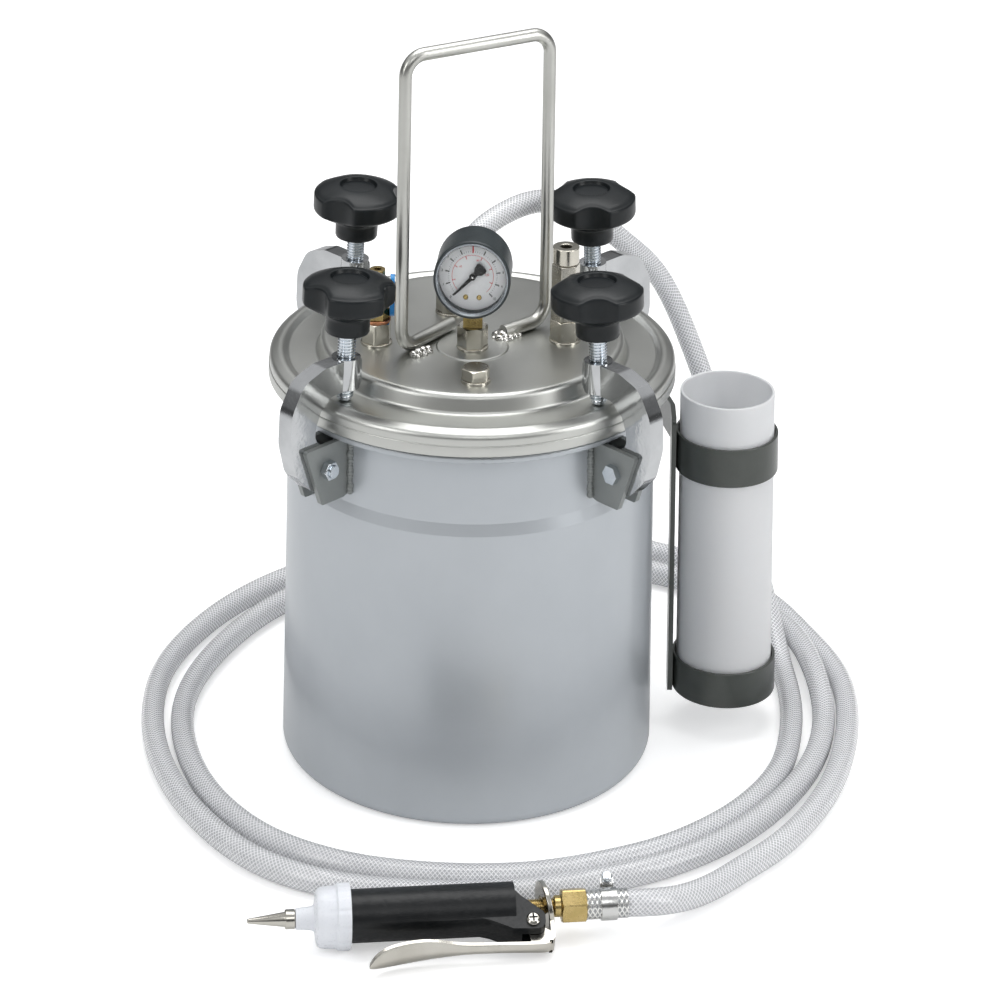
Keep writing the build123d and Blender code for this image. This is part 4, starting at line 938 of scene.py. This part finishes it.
# housing sits away from the lever side
m = np.eye(4)
m[:3, 0], m[:3, 1], m[:3, 2], m[:3, 3] = GX, GYv, GN, gp(178.0, 9.0, 1.5)
hb = bmesh.new()
bmesh.ops.create_cube(hb, size=1.0)
bmesh.ops.scale(hb, vec=Vector((6.4, 4.6, 8.4)), verts=hb.verts)
bmesh.ops.bevel(hb, geom=hb.edges[:] + hb.verts[:], offset=0.8, segments=3, affect="EDGES")
hv = [tuple(v.co) for v in hb.verts]
hf = [tuple(v.index for v in f.verts) for f in hb.faces]
hb.free()
mesh_obj("gun_clip_housing", xf(m, hv), hf, "steel", "pot", 40)
sm = basis(gp(178.0, 9.6, 5.4), GN)
turned("gun_clip_screw", [(0, 3.2), (0.4, 2.6, 0), (2.0, 2.6, 0.2), (2.6, 2.1, 0.5), (2.6, 0.2, 0), (1.7, 0.0, 0), (1.7, -9.0, 0), (0, -9.0)], sm, "zinc", "pot", 32, 30)


# lever: ring, crank, folded bar and finger spoon
def lever_mesh():
    st = [  # s, q (centre), half width, dish, sideways shift
        (147.4, -20.7, 3.2, 0.0, 0.0), (146.6, -22.0, 3.2, 0.2, 0.0), (144.6, -22.7, 3.1, 0.6, 0.0), (138.0, -22.8, 2.9, 0.9, 0.0), (125.0, -22.5, 2.8, 1.1, 0.0), (112.0, -22.3, 2.9, 1.2, 0.0),
        (104.0, -22.4, 3.3, 1.3, 0.2), (98.0, -22.8, 4.3, 1.6, 0.7), (92.0, -23.5, 5.4, 2.0, 1.5), (86.0, -24.4, 6.2, 2.3, 2.2), (80.0, -25.3, 6.6, 2.5, 2.4), (74.0, -26.3, 6.6, 2.6, 2.4),
        (68.0, -27.4, 6.3, 2.5, 2.4), (63.5, -28.5, 5.4, 2.2, 2.4), (60.2, -29.4, 4.0, 1.7, 2.4), (58.2, -30.0, 2.3, 1.0, 2.4), (57.6, -30.2, 0.8, 0.4, 2.4)]
    # resample smoothly along the list
    A = np.array(st, float)
    d = np.concatenate([[0], np.cumsum(np.hypot(np.diff(A[:, 0]), np.diff(A[:, 1])))])
    ss = np.linspace(0, d[-1], 70)
    A = np.stack([np.interp(ss, d, A[:, k]) for k in range(5)], 1)
    for _ in range(3):
        A[1:-1] = 0.25 * A[:-2] + 0.5 * A[1:-1] + 0.25 * A[2:]
    nw = 16
    V, F = [], []
    for layer, off in ((0, 0.0), (1, 1.5)):
        for s, q, hw, dish, sh in A:
            for k in range(nw + 1):
                t = -1 + 2 * k / nw
                # the rims turn towards the grip
                y = q + dish * t * t + (0.75 if layer else -0.75)
                V.append(gp(s, y, hw * t + sh))
    w = nw + 1
    n = len(A)
    o2 = n * w
    for i in range(n - 1):
        for k in range(nw):
            F.append((i * w + k, (i + 1) * w + k, (i + 1) * w + k + 1, i * w + k + 1))
            F.append((o2 + i * w + k, o2 + i * w + k + 1, o2 + (i + 1) * w + k + 1, o2 + (i + 1) * w + k))
    for i in range(n - 1):
        F.append((i * w, o2 + i * w, o2 + (i + 1) * w, (i + 1) * w))
        F.append((i * w + nw, (i + 1) * w + nw, o2 + (i + 1) * w + nw, o2 + i * w + nw))
    for k in range(nw):
        F.append((k, k + 1, o2 + k + 1, o2 + k))
        F.append(((n - 1) * w + k, o2 + (n - 1) * w + k, o2 + (n - 1) * w + k + 1, (n - 1) * w + k + 1))
    return V, F


LV, LF = lever_mesh()
# ring with a rolled edge
rv, rf = lathe(smooth_profile([(5.4, 147.0, 0), (11.2, 147.0, 0.4), (11.9, 147.3, 0.5), (11.9, 149.4, 0.6), (11.2, 149.7, 0.4), (5.4, 149.7, 0.3), (5.3, 148.4, 0.3), (5.4, 147.0, 0)]), 96)
# the ring leans back a little towards the grip
tilt = 12.0 * D2R
rv = np.array(rv)
ds, dq = rv[:, 2] - 148.3, rv[:, 0] + 10.0
rv = np.stack([148.3 + ds * math.cos(tilt) - dq * math.sin(tilt), -10.0 + dq * math.cos(tilt) + ds * math.sin(tilt), rv[:, 1]], 1)
rv = [gp(q[0], q[1], -q[2]) for q in rv]
# strip from the ring down to the crank
strip = []
for s, q in ((148.3, -9.6), (148.4, -12.0), (148.5, -15.0), (148.5, -18.0), (148.1, -20.4), (147.0, -21.9)):
    strip.append((s, q))
SV, SF = [], []
for i, (s, q) in enumerate(strip):
    for nn in (-4.4, -4.0, 4.0, 4.4):
        for ds in (-0.9, 0.9):
            SV.append(gp(s + ds, q, nn))
for i in range(len(strip) - 1):
    a, b = i * 8, (i + 1) * 8
    for k in (0, 2, 4):
        SF.append((a + k, a + k + 2, b + k + 2, b + k))
        SF.append((a + k + 1, b + k + 1, b + k + 3, a + k + 3))
    SF.append((a, b, b + 1, a + 1))
    SF.append((a + 6, a + 7, b + 7, b + 6))
# ear between the fork of the grip
ear = []
EV, EF = [], []
out2 = [(135.6, -12.2), (136.6, -9.7), (139.0, -8.7), (141.6, -9.8), (144.0, -13.0), (148.0, -15.5), (148.0, -22.2), (137.5, -22.2), (136.6, -15.0)]
for nn in (-2.3, 2.3):
    EV += [gp(s, q, nn) for s, q in out2]
ne = len(out2)
EF = [tuple(range(ne)), tuple(range(2 * ne - 1, ne - 1, -1))] + [(i, ne + i, ne + (i + 1) % ne, (i + 1) % ne) for i in range(ne)]
V, F = join_parts([(LV, LF), (rv, rf), (SV, SF), (EV, EF)])
lev = mesh_obj("gun_lever_fine", V, F, "nickel_bright", "gun_lever", 40, None, ("gun_lever",))

pv, pf = lathe(smooth_profile([(0, 8.6), (2.4, 8.5, 0.5), (3.4, 7.6, 0.5), (3.4, 6.6, 0), (1.95, 6.6, 0), (1.95, -7.6, 0), (3.2, -7.6, 0.3), (3.2, -8.6, 0.3), (0, -8.8)]), 48)
pm = basis(gp(139.0, -12.2, 0.0), GN, GX)
V, F = join_parts([(xf(pm, pv), pf)])
mesh_obj("gun_pin_fine", V, F, "nickel_bright", "pot", 35, None, ("gun_lever_pin",))
# painted shade: a thin dark cross laid on the screw's head where the shade of its recess would show; no recess is cut
cr = []
for w, h in ((4.2, 0.9), (0.9, 4.2)):
    v, f = box_part(0, 0, 8.56, w, h, 0.12)
    cr.append((v, f))
V, F = join_parts(cr)
mesh_obj("gun_pin_cross_painted_shade", xf(pm, V), F, "dark_inside", "pot", None)

# every CAD node still shown gets its finish
for n, o in frame["nodes"].items():
    if not o.hide_render:
        o.data.materials.clear()
        o.data.materials.append(M[SLOT[n]])

# ------------------------------------------------------------------ stage, light and camera
fm, nt, b = new_mat("floor_white")
co = obj_coord(nt)
L(nt, ramp(nt, noise(nt, co, 3.0), [(0.3, (0.90, 0.90, 0.90)), (0.7, (0.93, 0.93, 0.93))]), b.inputs["Base Color"])
b.inputs["Roughness"].default_value = 0.75
b.inputs["Specular IOR Level"].default_value = 0.0
# the floor shows brighter to the camera than it lights the object
lpn = N(nt, "ShaderNodeLightPath")
b.inputs["Emission Color"].default_value = (1, 1, 1, 1)
L(nt, math_node(nt, "MULTIPLY", lpn.outputs["Is Camera Ray"], 0.42), b.inputs["Emission Strength"])
bpy.ops.mesh.primitive_plane_add(size=14, location=(0, 1.0, -0.0006))
floor = bpy.context.object
floor.name = "floor"
floor.data.materials.append(fm)

world = bpy.data.worlds.new("studio")
bpy.context.scene.world = world
world.use_nodes = True
wn = world.node_tree
wn.nodes.clear()
wo = wn.nodes.new("ShaderNodeOutputWorld")
bg = wn.nodes.new("ShaderNodeBackground")
back = wn.nodes.new("ShaderNodeBackground")
back.inputs[0].default_value = (1, 1, 1, 1)
back.inputs[1].default_value = 1.0
mix = wn.nodes.new("ShaderNodeMixShader")
lp = wn.nodes.new("ShaderNodeLightPath")
tc = wn.nodes.new("ShaderNodeTexCoord")
sx = wn.nodes.new("ShaderNodeSeparateXYZ")
wn.links.new(tc.outputs["Generated"], sx.inputs[0])
rp = wn.nodes.new("ShaderNodeValToRGB")
el = rp.color_ramp.elements
el[0].position, el[0].color = 0.0, (0.55, 0.56, 0.57, 1)
el[1].position, el[1].color = 1.0, (0.60, 0.61, 0.62, 1)
for pos, v in ((0.47, 0.55), (0.53, 0.13), (0.62, 0.10), (0.70, 0.30), (0.78, 0.75), (0.90, 0.80)):
    e = el.new(pos)
    e.color = (v, v * 1.01, v * 1.02, 1)
mr = wn.nodes.new("ShaderNodeMapRange")
mr.inputs["From Min"].default_value = -1.0
mr.inputs["From Max"].default_value = 1.0
wn.links.new(sx.outputs[2], mr.inputs["Value"])
wn.links.new(mr.outputs[0], rp.inputs[0])
wn.links.new(rp.outputs[0], bg.inputs[0])
bg.inputs[1].default_value = 0.85
wn.links.new(lp.outputs["Is Camera Ray"], mix.inputs[0])
wn.links.new(bg.outputs[0], mix.inputs[1])
wn.links.new(back.outputs[0], mix.inputs[2])
wn.links.new(mix.outputs[0], wo.inputs[0])


def area(name, loc, target, size, power, sy=None, color=(1, 1, 1)):
    l = bpy.data.lights.new(name, "AREA")
    l.energy = power
    l.color = color
    l.shape = "RECTANGLE"
    l.size = size
    l.size_y = sy or size
    o = bpy.data.objects.new(name, l)
    bpy.context.scene.collection.objects.link(o)
    o.location = loc
    o.rotation_mode = "QUATERNION"
    o.rotation_quaternion = (Vector(target) - Vector(loc)).to_track_quat("-Z", "Y")
    return o


area("top_soft", (0.1, 0.3, 1.7), (0, 0, 0.1), 1.3, 15, 1.3)
area("left_key", (-1.5, -1.3, 1.2), (0, 0, 0.15), 0.7, 8, 1.3)
area("right_fill", (1.7, -0.9, 0.9), (0, 0, 0.15), 0.6, 11, 1.5)
area("front_fill", (0.3, -2.5, 2.1), (0, 0, 0.15), 1.2, 6, 0.8)

# a dark card material, meant for cards for the polished parts to reflect; no card is placed
cm, nt, b = new_mat("dark_card")
L(nt, ramp(nt, noise(nt, obj_coord(nt), 4.0), [(0.3, (0.02, 0.02, 0.02)), (0.7, (0.035, 0.035, 0.035))]), b.inputs["Base Color"])
b.inputs["Roughness"].default_value = 0.9

cam_data = bpy.data.cameras.new("camera")
cam = bpy.data.objects.new("camera", cam_data)
bpy.context.scene.collection.objects.link(cam)
bpy.context.scene.camera = cam
cam_data.sensor_width = 36.0
cam_data.lens = 4058 * 36.0 / 1000.0
cam_data.clip_start = 0.05
cam_data.clip_end = 60
cam.rotation_mode = "QUATERNION"
cam.location = (0, -2.195, 1.111)
cam.rotation_quaternion = (Matrix.Rotation(math.pi / 2, 4, "X") @ Matrix.Rotation(0.94 * D2R, 4, "Z")).to_quaternion()
cam_data.shift_x = 0.0002
cam_data.shift_y = -1.8229
# the shifted lens belongs to the main viewpoint only
for prop, value in (("shift_x", 0.0002), ("shift_y", -1.8229)):
    d = cam_data.driver_add(prop).driver
    d.type = "SCRIPTED"
    v = d.variables.new()
    v.name = "y"
    v.type = "TRANSFORMS"
    v.targets[0].id = cam
    v.targets[0].transform_type = "LOC_Y"
    v.targets[0].transform_space = "WORLD_SPACE"
    w = d.variables.new()
    w.name = "z"
    w.type = "TRANSFORMS"
    w.targets[0].id = cam
    w.targets[0].transform_type = "LOC_Z"
    w.targets[0].transform_space = "WORLD_SPACE"
    d.expression = "%g if abs(y + 2.195) + abs(z - 1.111) < 0.001 else 0.0" % value

sc = bpy.context.scene
sc.view_settings.view_transform = "Standard"
sc.view_settings.look = "None"
sc.view_settings.exposure = 0.0
